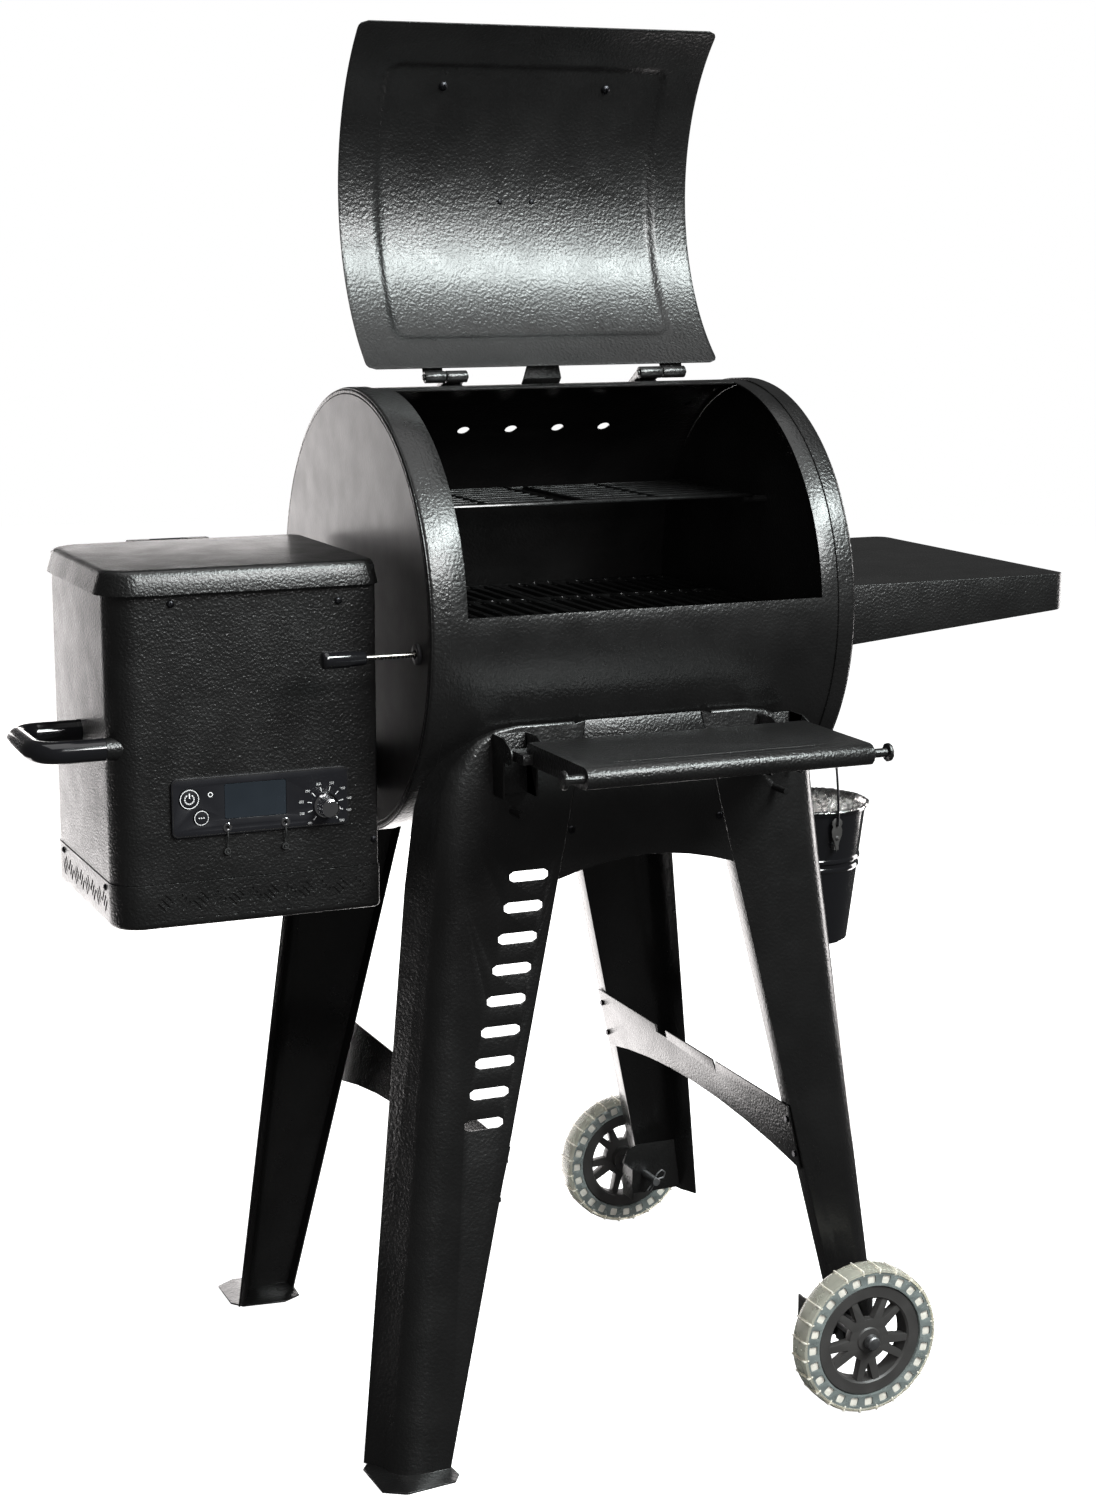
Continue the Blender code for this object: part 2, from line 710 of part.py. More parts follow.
# ---------------------------------------------------------------- wheels
def make_wheels():
    for name, side in (("front", -1), ("rear", 1)):
        middle_y = side * (WHEEL_OUTER_Y - WHEEL_WIDTH / 2)
        centre = (WHEEL_X, middle_y, WHEEL_RADIUS)
        half = 0.012
        disc = [(HUB_RADIUS, half), (HUB_RADIUS, -half), (AXLE_RADIUS + 0.0004, -half)]
        disc.append((AXLE_RADIUS + 0.0004, half))
        hub = piece(name + "_wheel_hub", PLASTIC, [turned(disc, centre, (0, 1, 0), 28)], centre)
        for i in range(5):
            start = 72.0 * i + 54.0
            outline = arc((0, 0), 0.048, start, start + 42.0, 3)
            outline += arc((0, 0), 0.020, start + 36.0, start + 6.0, 1)
            cut(hub, plate(outline, 0.05, centre, (1, 0, 0), (0, 0, 1)))
        width = WHEEL_WIDTH / 2
        band = HUB_RADIUS + 0.0004
        tyre = [(WHEEL_RADIUS - 0.005, width), (WHEEL_RADIUS, width - 0.006)]
        tyre += [(WHEEL_RADIUS, 0.006 - width), (WHEEL_RADIUS - 0.005, -width)]
        tyre += [(band, -width), (band, width)]
        mesh = turned(tyre, centre, (0, 1, 0), 28)
        piece(name + "_wheel_tyre", CLEAR_TYRE, [mesh], centre)

        outer = WHEEL_OUTER_Y + 0.0085 - FRAME_TOP_Y
        washer = WHEEL_OUTER_Y - WHEEL_WIDTH - 0.003 - FRAME_TOP_Y
        bolt = [(0.0, outer), (0.0075, outer), (0.0085, outer - 0.002), (0.0085, outer - 0.0075)]
        bolt += [(AXLE_RADIUS, outer - 0.0075), (AXLE_RADIUS, washer + 0.0052)]
        bolt += [(0.009, washer + 0.0052), (0.009, 0.031), (AXLE_RADIUS, 0.031)]
        bolt += [(AXLE_RADIUS, -0.012), (0.0, -0.012)]
        origin = (WHEEL_X, side * FRAME_TOP_Y, WHEEL_RADIUS)
        piece(name + "_wheel_axle", ZINC, [turned(bolt, origin, (0, side, 0), 10)])


# ---------------------------------------------------------------- fold-down front shelf
def bracket_outline(low, high, inset, front):
    """Side view of a bracket wall that follows the leaning face of the leg."""
    back_low = -frame_y(low) - inset
    back_high = -frame_y(high) - inset
    return [(back_low, low), (back_high, high), *front]


def make_shelf_brackets():
    """Channels on the front legs: two cheeks with a nose round the shelf's hinge pin."""
    low = 0.698
    pivot = tuple(SHELF_PIVOT.yz)
    nose = [(-0.2508, SHELF_TOP), *arc(pivot, 0.010, 110.0, 300.0, 8), (-0.2508, 0.7363)]
    cheek = bracket_outline(low, SHELF_TOP, GAP, [*nose, (-0.2508, low)])
    hole = arc(pivot, 0.0035, 0.0, 330.0, 11)
    web_low = low + 0.0006
    web_high = SHELF_TOP - 0.0006
    front = [(-frame_y(web_high) - 0.0026, web_high), (-frame_y(web_low) - 0.0026, web_low)]
    web = bracket_outline(web_low, web_high, 0.0006, front)
    for name, side in (("left", -1), ("right", 1)):
        cheeks = []
        for x in (0.133, 0.169):
            cheeks.append(plate(cheek, 0.002, (side * x, 0, 0), (0, 1, 0), (0, 0, 1), [hole]))
        bracket = piece(name + "_shelf_bracket", BLACK_COAT, [cheeks[0]])
        weld(bracket, plate(web, 0.0350, (side * 0.151, 0, 0), (0, 1, 0), (0, 0, 1)), cheeks[1])


def make_front_shelf():
    low = SHELF_TOP - SHELF_DEPTH
    radius = SHELF_DEPTH / 2
    outline = [(-0.276, low), (-0.276, SHELF_TOP - 0.003), (-0.279, SHELF_TOP)]
    outline += arc((-SHELF_FRONT + radius, low + radius), radius, 90.0, 270.0, 6)
    body = plate(outline, 2 * SHELF_HALF, (0, 0, 0), (0, 1, 0), (0, 0, 1))
    shelf = piece("front_shelf", BLACK_COAT, [body], SHELF_PIVOT)
    cut(shelf, box((-0.144, -0.400, low - 0.01), (0.144, -0.279, SHELF_TOP - 0.0015)))
    for side in (-1, 1):
        xs = sorted((side * 0.1365, side * 0.1655))
        arm_x = sorted((side * 0.146, side * 0.1655))
        ear = box((xs[0], -0.2725, 0.740), (xs[1], -0.2565, 0.750))
        arm = box((arm_x[0], -0.292, 0.740), (arm_x[1], -0.270, 0.750))
        pin_x = sorted((side * 0.1313, side * 0.1707))
        pin = rod((pin_x[0], *SHELF_PIVOT.yz), (pin_x[1], *SHELF_PIVOT.yz), 0.003, 10)
        weld(shelf, ear, arm, pin)

    y = -SHELF_FRONT + radius
    z = low + radius
    peg = [(0.0, 0.024), (0.0085, 0.024), (0.0095, 0.022), (0.0095, 0.020), (0.00475, 0.019)]
    peg += [(0.00475, 0.0), (0.0, 0.0)]
    weld(shelf, *both_sides(turned(peg, (SHELF_HALF - 0.001, y, z), ALONG_X, 10)))


# ---------------------------------------------------------------- side shelf
def make_side_shelf():
    """Pressed tray, open below: deep at the barrel, shallow at its free end, corners rounded."""
    wall = 0.0015
    outline = rounded_box(SIDE_LEFT, SIDE_RIGHT, -SIDE_HALF, SIDE_HALF, (0.002, 0.015, 0.015, 0.002), 4)
    inside = rounded_box(
        SIDE_LEFT + wall,
        SIDE_RIGHT - wall,
        wall - SIDE_HALF,
        SIDE_HALF - wall,
        (0.002, 0.0135, 0.0135, 0.002),
        4,
    )
    far = SIDE_RIGHT + 0.01
    near = SIDE_LEFT - 0.01
    below = [(near, SIDE_TOP - 0.066), (far, SIDE_TOP - 0.038), (far, 0.60), (near, 0.60)]
    shelf = piece("side_shelf", BLACK_COAT, [upright(outline, SIDE_TOP - 0.2, SIDE_TOP)])
    under = plate(below, 1.0, (0, 0, 0), (1, 0, 0), (0, 0, 1))
    cut(shelf, under, upright(inside, SIDE_TOP - 0.3, SIDE_TOP - wall))


# ---------------------------------------------------------------- hopper
def hopper_outline(grow, corner=0.030):
    radii = (corner + grow, 0.003, 0.003, corner + grow)
    return rounded_box(
        HOPPER_LEFT - grow, HOPPER_RIGHT + grow, HOPPER_FRONT - grow, HOPPER_BACK + grow, radii
    )


def make_hopper_shell():
    walls = upright(hopper_outline(0.0), HOPPER_SEAM, HOPPER_TOP, [hopper_outline(-0.0015)])
    shell = piece("hopper_shell", BLACK_COAT, [walls])
    tube_hole = rod((-0.27, 0, AUGER_Z), (-0.25, 0, AUGER_Z), AUGER_TUBE_RADIUS + 2 * GAP, 20)
    window = box((-0.470, -0.13, 0.664), (-0.299, -0.11, 0.716))
    inlet = box((-0.500, 0.13, 0.700), (-0.470, 0.15, 0.722))
    knuckle = rod((-0.42, *HOPPER_PIN.yz), (-0.38, *HOPPER_PIN.yz), 0.0045, 12)
    pin = rod((-0.445, *HOPPER_PIN.yz), (-0.355, *HOPPER_PIN.yz), 0.002, 12)
    strap = box((-0.42, HOPPER_BACK - 0.0005, 0.905), (-0.38, HOPPER_BACK + 0.006, 0.9235))
    weld(shell, knuckle, pin, strap)
    cut(shell, tube_hole, window, inlet)


def make_hopper_base():
    base = piece("hopper_base", BLACK_COAT, [upright(hopper_outline(0.001), HOPPER_BOTTOM, 0.6132)])
    cut(base, upright(hopper_outline(-0.0005), HOPPER_BOTTOM + 0.0015, 0.63))


def make_hopper_lid():
    left = HOPPER_LEFT - 0.008
    right = HOPPER_RIGHT + 0.0045
    front = HOPPER_FRONT - 0.008
    back = HOPPER_BACK + 0.002
    low = HOPPER_LID_TOP - 0.024
    outline = rounded_box(left, right, front, back, (0.036, 0.008, 0.003, 0.020))
    pocket = rounded_box(
        left + 0.0015, right - 0.0015, front + 0.0015, back + 0.02, (0.0345, 0.0065, 0.003, 0.003)
    )
    slab = upright(outline, low, HOPPER_LID_TOP)
    lid = piece("hopper_lid", BLACK_COAT, [slab], HOPPER_PIN)
    cut(lid, upright(pocket, low - 0.02, HOPPER_LID_TOP - 0.0015))
    centre = tuple(HOPPER_PIN.yz)
    for low_x, high_x in ((-0.4445, -0.4203), (-0.3797, -0.3555)):
        knuckle = ring(low_x, high_x, 0.0045, 0.0024, centre, 12)
        strap = box((low_x, back - 0.004, 0.9285), (high_x, HOPPER_PIN.y, 0.9296))
        weld(lid, knuckle, strap)


def make_hopper_bin():
    """Funnel that feeds pellets down to the auger tube's top opening."""
    levels = (
        (0.905, -0.520, -0.262, -0.112, 0.128),
        (0.745, -0.462, -0.398, -0.021, 0.021),
        (0.7168, -0.462, -0.398, -0.021, 0.021),
    )
    points = []
    for z, left, right, front, back in levels:
        points += [(left, front, z), (right, front, z), (right, back, z), (left, back, z)]
    faces = []
    for low in (0, 4):
        for c in range(4):
            following = (c + 1) % 4
            faces.append((low + c, low + following, low + 4 + following, low + 4 + c))
    data = bpy.data.meshes.new("funnel")
    data.from_pydata(points, [], faces)
    solid = {"thickness": 0.001, "offset": 0.0, "use_even_offset": True}
    piece("hopper_bin", STEEL, [evaluated(data, modifiers=[("SOLIDIFY", solid)])])


def make_hopper_handle():
    """U of tube out of the hopper's left side, its front arm on the rounded corner."""
    bend = 0.024
    front = -0.108
    rear = 0.004
    corner_x = HANDLE_X + bend
    path = [(HOPPER_LEFT - GAP, rear)]
    path += arc((corner_x, rear - bend), bend, 90.0, 180.0, 5)
    path += arc((corner_x, front + bend), bend, 180.0, 270.0, 5)
    path.append((HOPPER_LEFT + 0.028, front))
    points = [(x, y, HANDLE_Z) for x, y in path]
    handle = piece("hopper_handle", BLACK_COAT, [tube(points, 0.012, 3)])
    cut(handle, upright(hopper_outline(GAP), 0.70, 0.80))


def make_power_inlet():
    body = box((-0.4995, 0.120, 0.7005), (-0.4705, 0.1435, 0.7215))
    inlet = piece("power_inlet", PLASTIC, [body])
    cut(inlet, box((-0.4955, 0.130, 0.7045), (-0.4745, 0.150, 0.7175)))


# ---------------------------------------------------------------- controls
def facing(outline, thickness, y, holes=()):
    """Plate in the X-Z plane centred on a depth."""
    return plate(outline, thickness, (0, y, 0), (1, 0, 0), (0, 0, 1), holes)


def make_control_panel():
    outline = rounded_box(
        PANEL_X - 0.093, PANEL_X + 0.093, PANEL_Z - 0.030, PANEL_Z + 0.030, (0.007,) * 4, 4
    )
    holes = [
        arc((KNOB.x, KNOB.z), 0.0040, 0.0, 330.0, 11),
        arc((POWER.x, POWER.z), 0.0110, 0.0, 337.5, 15),
        arc((PRIME.x, PRIME.z), 0.0085, 0.0, 337.5, 15),
        rounded_box(-0.4225, -0.3575, 0.6753, 0.7117, (0.002,) * 4, 2),
    ]
    thickness = 0.003
    middle = PANEL_FACE + thickness / 2
    panel = piece("control_panel", GLOSS_BLACK, [facing(outline, thickness, middle, holes)])
    for x in JACKS_X:
        rim = rod((x, PANEL_FACE + 0.001, JACK_Z), (x, PANEL_FACE - 0.0012, JACK_Z), 0.0045, 12)
        weld(panel, rim)
    for x in JACKS_X:
        cut(panel, rod((x, PANEL_FACE + 0.01, JACK_Z), (x, PANEL_FACE - 0.01, JACK_Z), 0.0018, 10))

    window = rounded_box(-0.4222, -0.3578, 0.6756, 0.7114, (0.0018,) * 4, 2)
    piece("display_window", DISPLAY, [facing(window, 0.0026, PANEL_FACE + 0.0015)])
    board = box((-0.466, -0.1175, 0.666), (-0.303, -0.1155, 0.714))
    part = piece("controller_board", CIRCUIT, [board])
    weld(part, box((-0.425, -0.1156, 0.676), (-0.355, -0.1040, 0.704)))


def make_buttons():
    for name, centre, radius in (("power_button", POWER, 0.0105), ("prime_button", PRIME, 0.0080)):
        profile = [(0.0, 0.0018), (radius - 0.0008, 0.0018), (radius, 0.0010), (radius, -0.0020)]
        profile.append((0.0, -0.0020))
        piece(name, GLOSS_BLACK, [turned(profile, centre, (0, -1, 0), 16)], centre)


def make_knob():
    profile = [(0.0, 0.0100), (0.0085, 0.0100), (0.0098, 0.0090), (0.0110, -0.0060)]
    profile += [(0.0125, -0.0080), (0.0125, -0.0100), (0.0030, -0.0100), (0.0030, -0.0190)]
    profile.append((0.0, -0.0190))
    origin = (KNOB.x, KNOB.y, KNOB.z)
    knob = piece("temperature_knob", CHROME, [turned(profile, origin, (0, -1, 0), 20)], origin)
    low = (KNOB.x - 0.0012, KNOB.y - 0.0112, KNOB.z)
    ridge = box(low, (KNOB.x + 0.0012, KNOB.y, KNOB.z + 0.0085))
    weld(knob, ridge)


# ---------------------------------------------------------------- pellet feed and fire
def make_auger():
    inner = AUGER_TUBE_RADIUS - 0.0015
    profile = [
        (AUGER_TUBE_RADIUS, 0.4547),
        (AUGER_TUBE_RADIUS, 0.2170),
        (0.0400, 0.2170),
        (0.0400, 0.2147),
        (AUGER_TUBE_RADIUS, 0.2147),
        (AUGER_TUBE_RADIUS, 0.0),
        (inner, 0.0),
        (inner, 0.4547),
    ]
    tube_part = piece("auger_tube", STEEL, [turned(profile, (-0.470, 0, AUGER_Z), ALONG_X, 20)])
    cut(tube_part, box((-0.461, -0.020, AUGER_Z + 0.005), (-0.399, 0.020, 0.74)))

    pitch = 0.0478
    length = 0.430
    turns = length / pitch
    bm = bmesh.new()
    fin = 0.0225
    core = 0.0060
    outline = arc((0, 0), core, 60.0, 300.0, 2)
    outline += [(fin * math.cos(math.radians(-4.5)), fin * math.sin(math.radians(-4.5)))]
    outline += [(fin * math.cos(math.radians(4.5)), fin * math.sin(math.radians(4.5)))]
    verts = [bm.verts.new((u, v, 0.0)) for u, v in outline]
    face = bm.faces.new(verts)
    steps = int(turns * 6)
    bmesh.ops.spin(
        bm,
        geom=[face],
        cent=(0, 0, 0),
        axis=(0, 0, 1),
        dvec=(0, 0, length / steps),
        angle=2 * math.pi * turns,
        steps=steps,
        use_duplicate=False,
    )
    bmesh.ops.triangulate(bm, faces=bm.faces)
    bm.transform(Matrix.Translation((-0.472, 0, AUGER_Z)) @ along(ALONG_X))
    piece("auger_screw", STEEL, [cleaned(bm)], (-0.472, 0, AUGER_Z))

    gearbox = box((-0.515, -0.034, 0.656), (-0.4725, 0.034, 0.724))
    motor = piece("auger_motor", ZINC, [gearbox])
    weld(motor, rod((-0.494, 0.030, AUGER_Z), (-0.494, 0.095, AUGER_Z), 0.021, 14))


def make_fan():
    profile = [
        (0.046, 0.020),
        (0.046, -0.020),
        (0.026, -0.020),
        (0.026, -0.0188),
        (0.0448, -0.0188),
        (0.0448, 0.0188),
        (0.0, 0.0188),
        (0.0, 0.020),
    ]
    turned_axis = (0, 1, 0)
    piece("fan_housing", PLASTIC, [turned(profile, FAN, turned_axis, 20)])
    wheel = [(0.0, 0.0165), (0.040, 0.0165), (0.040, 0.0145), (0.012, 0.0145), (0.012, -0.010)]
    wheel.append((0.0, -0.010))
    impeller = piece("fan_impeller", PLASTIC, [turned(wheel, FAN, turned_axis, 16)], FAN)
    for i in range(6):
        angle = 60.0 * i
        vane = box((0.022, -0.010, -0.0008), (0.0385, 0.0150, 0.0008))
        spin = Matrix.Translation(FAN) @ Matrix.Rotation(math.radians(angle), 4, "Y")
        weld(impeller, turned_copy(vane, spin))


def make_fire_pot():
    floor = 0.636
    top = 0.728
    inner = POT_RADIUS - 0.002
    profile = [(0.0, floor + 0.002), (inner, floor + 0.002), (inner, top), (POT_RADIUS, top)]
    profile += [(POT_RADIUS, floor), (0.0, floor)]
    pot = piece("fire_pot", STEEL, [turned(profile[::-1], (POT_X, 0, 0), (0, 0, 1), 20)])
    cut(pot, rod((-0.03, 0, AUGER_Z), (0.0, 0, AUGER_Z), 0.0235, 16))
    holes = []
    for degrees in (-135.0, -90.0, -45.0, 0.0, 45.0, 90.0, 135.0):
        angle = math.radians(degrees)
        direction = Vector((math.cos(angle), math.sin(angle), 0.0))
        start = Vector((POT_X, 0, 0.655)) + direction * 0.035
        holes.append(rod(start, start + direction * 0.02, 0.003, 6))
    cut(pot, *holes)
    rod_mesh = rod((-0.2365, 0, 0.6560), (POT_X - POT_RADIUS - GAP, 0, 0.6560), 0.0045, 12)
    piece("igniter_rod", STEEL, [rod_mesh])


def broiler_gate(x):
    return rounded_box(x - 0.006, x + 0.006, -0.04, 0.04, (0.002,) * 4, 1)


def make_broiler():
    outline = rounded_box(-0.2325, 0.2325, -0.204, 0.204, (0.002,) * 4, 1)
    slots = [broiler_gate(x) for x in (0.0, 0.03, 0.06)]
    middle = (0, 0, BROILER_Z + 0.001)
    tray = plate(outline, 0.002, middle, (1, 0, 0), (0, 1, 0), slots)
    piece("grease_plate", INNER_COAT, [tray])

    cover = rounded_box(-0.050, 0.110, -0.050, 0.050, (0.002,) * 4, 1)
    gates = [broiler_gate(x) for x in (0.015, 0.045, 0.075)]
    middle = (0, 0, BROILER_Z + 0.0032)
    slider = plate(cover, 0.0015, middle, (1, 0, 0), (0, 1, 0), gates)
    piece("broiler_slider", INNER_COAT, [slider], (-0.05, 0, BROILER_Z))

    path = [
        (-0.2955, ROD_Y, ROD_Z),
        (-0.158, ROD_Y, ROD_Z),
        (-0.148, -0.200, 0.836),
        (-0.140, -0.201, 0.815),
        (-0.134, -0.193, 0.802),
        (-0.120, -0.165, 0.786),
        (-0.100, -0.110, 0.774),
        (-0.060, -0.060, 0.7683),
        (-0.040, -0.040, 0.7683),
    ]
    start = (-0.2955, ROD_Y, ROD_Z)
    piece("broiler_rod", CHROME, [tube(path, ROD_RADIUS, 1)], start)
    grip = [(0.0, 0.0458), (0.0075, 0.0458), (0.0090, 0.0440), (0.0090, 0.0240), (0.0078, 0.0225)]
    grip += [(0.0072, 0.0020), (0.0060, 0.0), (0.0, 0.0)]
    origin = (-0.2955 - GAP, ROD_Y, ROD_Z)
    piece("lever_grip", PLASTIC, [turned(grip, origin, (-1, 0, 0), 12)], start)
    bush = [(0.0072, 0.0030), (0.0072, -0.0016), (0.0110, -0.0016), (0.0110, -0.0050)]
    bush += [(0.0045, -0.0050), (0.0045, 0.0030)]
    face = -(BARREL_HALF + GAP + CAP_SHEET)
    piece("lever_bush", PLASTIC, [turned(bush, (face + 0.0012, ROD_Y, ROD_Z), ALONG_X, 16)])


def grate(left, right):
    """Cast grate half: long bars front to back, tied by two cross ribs."""
    rim = 0.006
    bars = 7
    pitch = (right - left - 2 * rim) / bars
    depth = (GRATE_BACK - GRATE_FRONT - 4 * rim) / 3
    holes = []
    for i in range(bars):
        low = left + rim + pitch * i + 0.004
        high = left + rim + pitch * (i + 1) - 0.004
        for j in range(3):
            front = GRATE_FRONT + rim + (depth + rim) * j
            holes.append([(low, front), (high, front), (high, front + depth), (low, front + depth)])
    outline = rounded_box(left, right, GRATE_FRONT, GRATE_BACK, (0.008,) * 4, 2)
    thickness = 0.010
    return plate(outline, thickness, (0, 0, GRATE_TOP - thickness / 2), (1, 0, 0), (0, 1, 0), holes)


def make_cooking_surfaces():
    piece("left_grate", IRON, [grate(-0.2300, -0.0010)], (-0.1155, 0, GRATE_TOP))
    piece("right_grate", IRON, [grate(0.0010, 0.2300)], (0.1155, 0, GRATE_TOP))
    outline = rounded_box(-0.2200, 0.2200, -0.052, 0.130, (0.01,) * 4, 2)
    holes = []
    for i in range(9):
        low = -0.2160 + 0.048 * i + 0.002
        high = low + 0.044
        holes.append([(low, -0.048), (high, -0.048), (high, 0.036), (low, 0.036)])
        holes.append([(low, 0.042), (high, 0.042), (high, 0.126), (low, 0.126)])
    rack = plate(outline, 0.005, (0, 0, RACK_TOP - 0.0025), (1, 0, 0), (0, 1, 0), holes)
    piece("upper_rack", IRON, [rack], (0, 0, RACK_TOP))

    probe = rod((-0.2377, 0.150, 0.985), (-0.180, 0.150, 0.985), 0.003, 10)
    piece("temperature_probe", STEEL, [probe])


# ---------------------------------------------------------------- grease bucket
def bucket_radius(z):
    """Outside radius of the tapering bucket at a height."""
    return RIM_RADIUS - BUCKET_TAPER * (RIM_Z - z)


def make_grease_parts():
    inside = SPOUT_RADIUS - 0.0015
    spout = [(0.0165, 0.1000), (0.0165, 0.0975), (SPOUT_RADIUS, 0.0975), (SPOUT_RADIUS, 0.0)]
    spout += [(inside, 0.0), (inside, 0.1000)]
    piece("grease_spout", BLACK_COAT, [turned(spout, (0.2280, 0, SPOUT_Z), ALONG_X, 16)])

    centre = (BUCKET_X, 0, 0)
    tilt = (BUCKET_X, 0, EAR_Z)
    base = bucket_radius(BUCKET_BOTTOM)
    wall = [
        (RIM_RADIUS + 0.0015, RIM_Z),
        (RIM_RADIUS + 0.0015, RIM_Z - 0.003),
        (bucket_radius(0.600), 0.600),
        (base, BUCKET_BOTTOM),
        (0.0, BUCKET_BOTTOM),
        (0.0, BUCKET_BOTTOM + 0.001),
        (base - 0.001, BUCKET_BOTTOM + 0.001),
        (RIM_RADIUS - 0.001, RIM_Z),
    ]
    bucket = piece("grease_bucket", GLOSS_BLACK, [turned(wall, centre, (0, 0, 1), 24)], tilt)
    for side in (-1, 1):
        ys = sorted((side * EAR_Y, side * (EAR_Y - 0.0012)))
        ear = box((BUCKET_X - 0.007, ys[0], 0.560), (BUCKET_X + 0.007, ys[1], 0.600))
        ys = sorted((side * (EAR_Y - 0.0005), side * 0.0626))
        block = box((BUCKET_X - 0.004, ys[0], 0.562), (BUCKET_X + 0.004, ys[1], 0.567))
        weld(bucket, ear, block)
    for side in (-1, 1):
        cut(bucket, rod((BUCKET_X, side * 0.070, EAR_Z), (BUCKET_X, side * 0.09, EAR_Z), 0.0021, 10))

    inset = 0.0016
    foil = 0.0008
    floor = 0.4600
    liner = [
        (RIM_RADIUS + 0.004, RIM_Z + 0.0033),
        (RIM_RADIUS + 0.004, RIM_Z + 0.0006),
        (RIM_RADIUS - inset, RIM_Z + 0.0006),
        (bucket_radius(floor) - inset, floor),
        (0.0, floor),
        (0.0, floor + foil),
        (bucket_radius(floor) - inset - foil, floor + foil),
        (RIM_RADIUS - inset - foil, RIM_Z + 0.0033),
    ]
    piece("foil_liner", FOIL, [turned(liner, centre, (0, 0, 1), 24)], tilt)

    outer = EAR_Y + 0.0022
    eye = EAR_Y - 0.0030
    points = [(BUCKET_X, -eye, EAR_Z)]
    for i in range(13):
        angle = math.radians(15.0 * i)
        height = EAR_Z + (BAIL_TOP - EAR_Z) * math.sin(angle)
        points.append((BUCKET_X, -outer * math.cos(angle), height))
    points.append((BUCKET_X, eye, EAR_Z))
    piece("bucket_bail", ZINC, [tube(points, 0.0016, 1)], (BUCKET_X, 0, SPOUT_Z))


def main():
    make_barrel()
    make_end_caps()
    make_lid()
    make_lid_hinges()
    make_lid_stop()
    make_legs()
    make_aprons()
    make_braces()
    make_wheels()
    make_shelf_brackets()
    make_front_shelf()
    make_side_shelf()
    make_hopper_shell()
    make_hopper_base()
    make_hopper_lid()
    make_hopper_bin()
    make_hopper_handle()
    make_power_inlet()
    make_control_panel()
    make_buttons()
    make_knob()
    make_auger()
    make_fan()
    make_fire_pot()
    make_broiler()
    make_cooking_surfaces()
    make_grease_parts()


main()
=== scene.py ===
"""Looks for the pellet smoker grill: fine meshes, materials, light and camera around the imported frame.

Everything is drawn about the barrel's middle on the floor, +X towards the side shelf, +Y to the back,
+Z up, and each object then sits at that place in the frame.
"""
import json
import math

import bmesh
import bpy
from mathutils import Matrix, Vector, noise

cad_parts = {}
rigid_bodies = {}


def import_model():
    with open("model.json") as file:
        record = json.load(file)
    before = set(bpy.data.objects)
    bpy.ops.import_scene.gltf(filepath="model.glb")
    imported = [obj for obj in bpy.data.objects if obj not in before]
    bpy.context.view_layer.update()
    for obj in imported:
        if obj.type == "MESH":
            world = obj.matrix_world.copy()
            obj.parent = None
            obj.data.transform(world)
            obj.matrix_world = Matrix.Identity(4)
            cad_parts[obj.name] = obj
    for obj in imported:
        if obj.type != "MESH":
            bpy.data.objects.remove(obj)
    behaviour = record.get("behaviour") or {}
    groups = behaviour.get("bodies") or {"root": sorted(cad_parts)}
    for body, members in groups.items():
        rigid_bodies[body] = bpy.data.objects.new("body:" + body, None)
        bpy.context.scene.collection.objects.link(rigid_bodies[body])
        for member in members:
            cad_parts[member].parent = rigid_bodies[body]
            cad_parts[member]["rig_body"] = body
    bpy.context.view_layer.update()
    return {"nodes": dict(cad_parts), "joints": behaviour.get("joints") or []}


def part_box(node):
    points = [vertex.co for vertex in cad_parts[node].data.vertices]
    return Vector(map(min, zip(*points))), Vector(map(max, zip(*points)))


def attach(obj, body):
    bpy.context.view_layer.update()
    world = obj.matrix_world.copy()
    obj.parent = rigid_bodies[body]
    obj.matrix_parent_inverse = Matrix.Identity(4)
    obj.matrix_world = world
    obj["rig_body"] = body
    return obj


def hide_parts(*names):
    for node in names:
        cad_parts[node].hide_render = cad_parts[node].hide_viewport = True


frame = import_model()
scene = bpy.context.scene
joints = {joint["name"]: joint for joint in frame["joints"]}


# ---------------------------------------------------------------- places read from the frame
def middle(node):
    low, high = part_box(node)
    return (low + high) / 2


BARREL_MIDDLE = middle("barrel_shell")
ORIGIN = Vector((BARREL_MIDDLE.x, BARREL_MIDDLE.y, 0.0))


def place_of(joint):
    return Vector(joints[joint]["pos_m"]) - ORIGIN


def local_box(node):
    low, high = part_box(node)
    return low - ORIGIN, high - ORIGIN


AXIS_Z = BARREL_MIDDLE.z
BARREL_RADIUS = 0.2335
BARREL_SHEET = 0.002
SOOT_RADIUS = BARREL_RADIUS - BARREL_SHEET / 2
CAP_RADIUS = 0.235
BARREL_HALF = 0.238
OPENING_HALF = 0.1995
OPENING_REAR = math.radians(-6.3)
OPENING_FRONT = math.radians(-85.4)
LID_HALF = 0.208
LID_RADIUS = 0.2355
LID_REAR = math.radians(5.6)
LID_FRONT = math.radians(-93.3)
LID_LENGTH = LID_RADIUS * (LID_REAR - LID_FRONT)
LID_TRAVEL = math.radians(135.5)
LID_PIN = place_of("lid_hinge")
GRIP_ANGLE = math.radians(-73.8)
FRAME_TOP_Z = 0.766
FRAME_TOP_Y = 0.220
FRAME_SPREAD = 0.0525


# ---------------------------------------------------------------- mesh making
def finished(bm):
    bmesh.ops.remove_doubles(bm, verts=bm.verts, dist=0.00001)
    bmesh.ops.recalc_face_normals(bm, faces=bm.faces)
    mesh = bpy.data.meshes.new("shape")
    bm.to_mesh(mesh)
    bm.free()
    return mesh


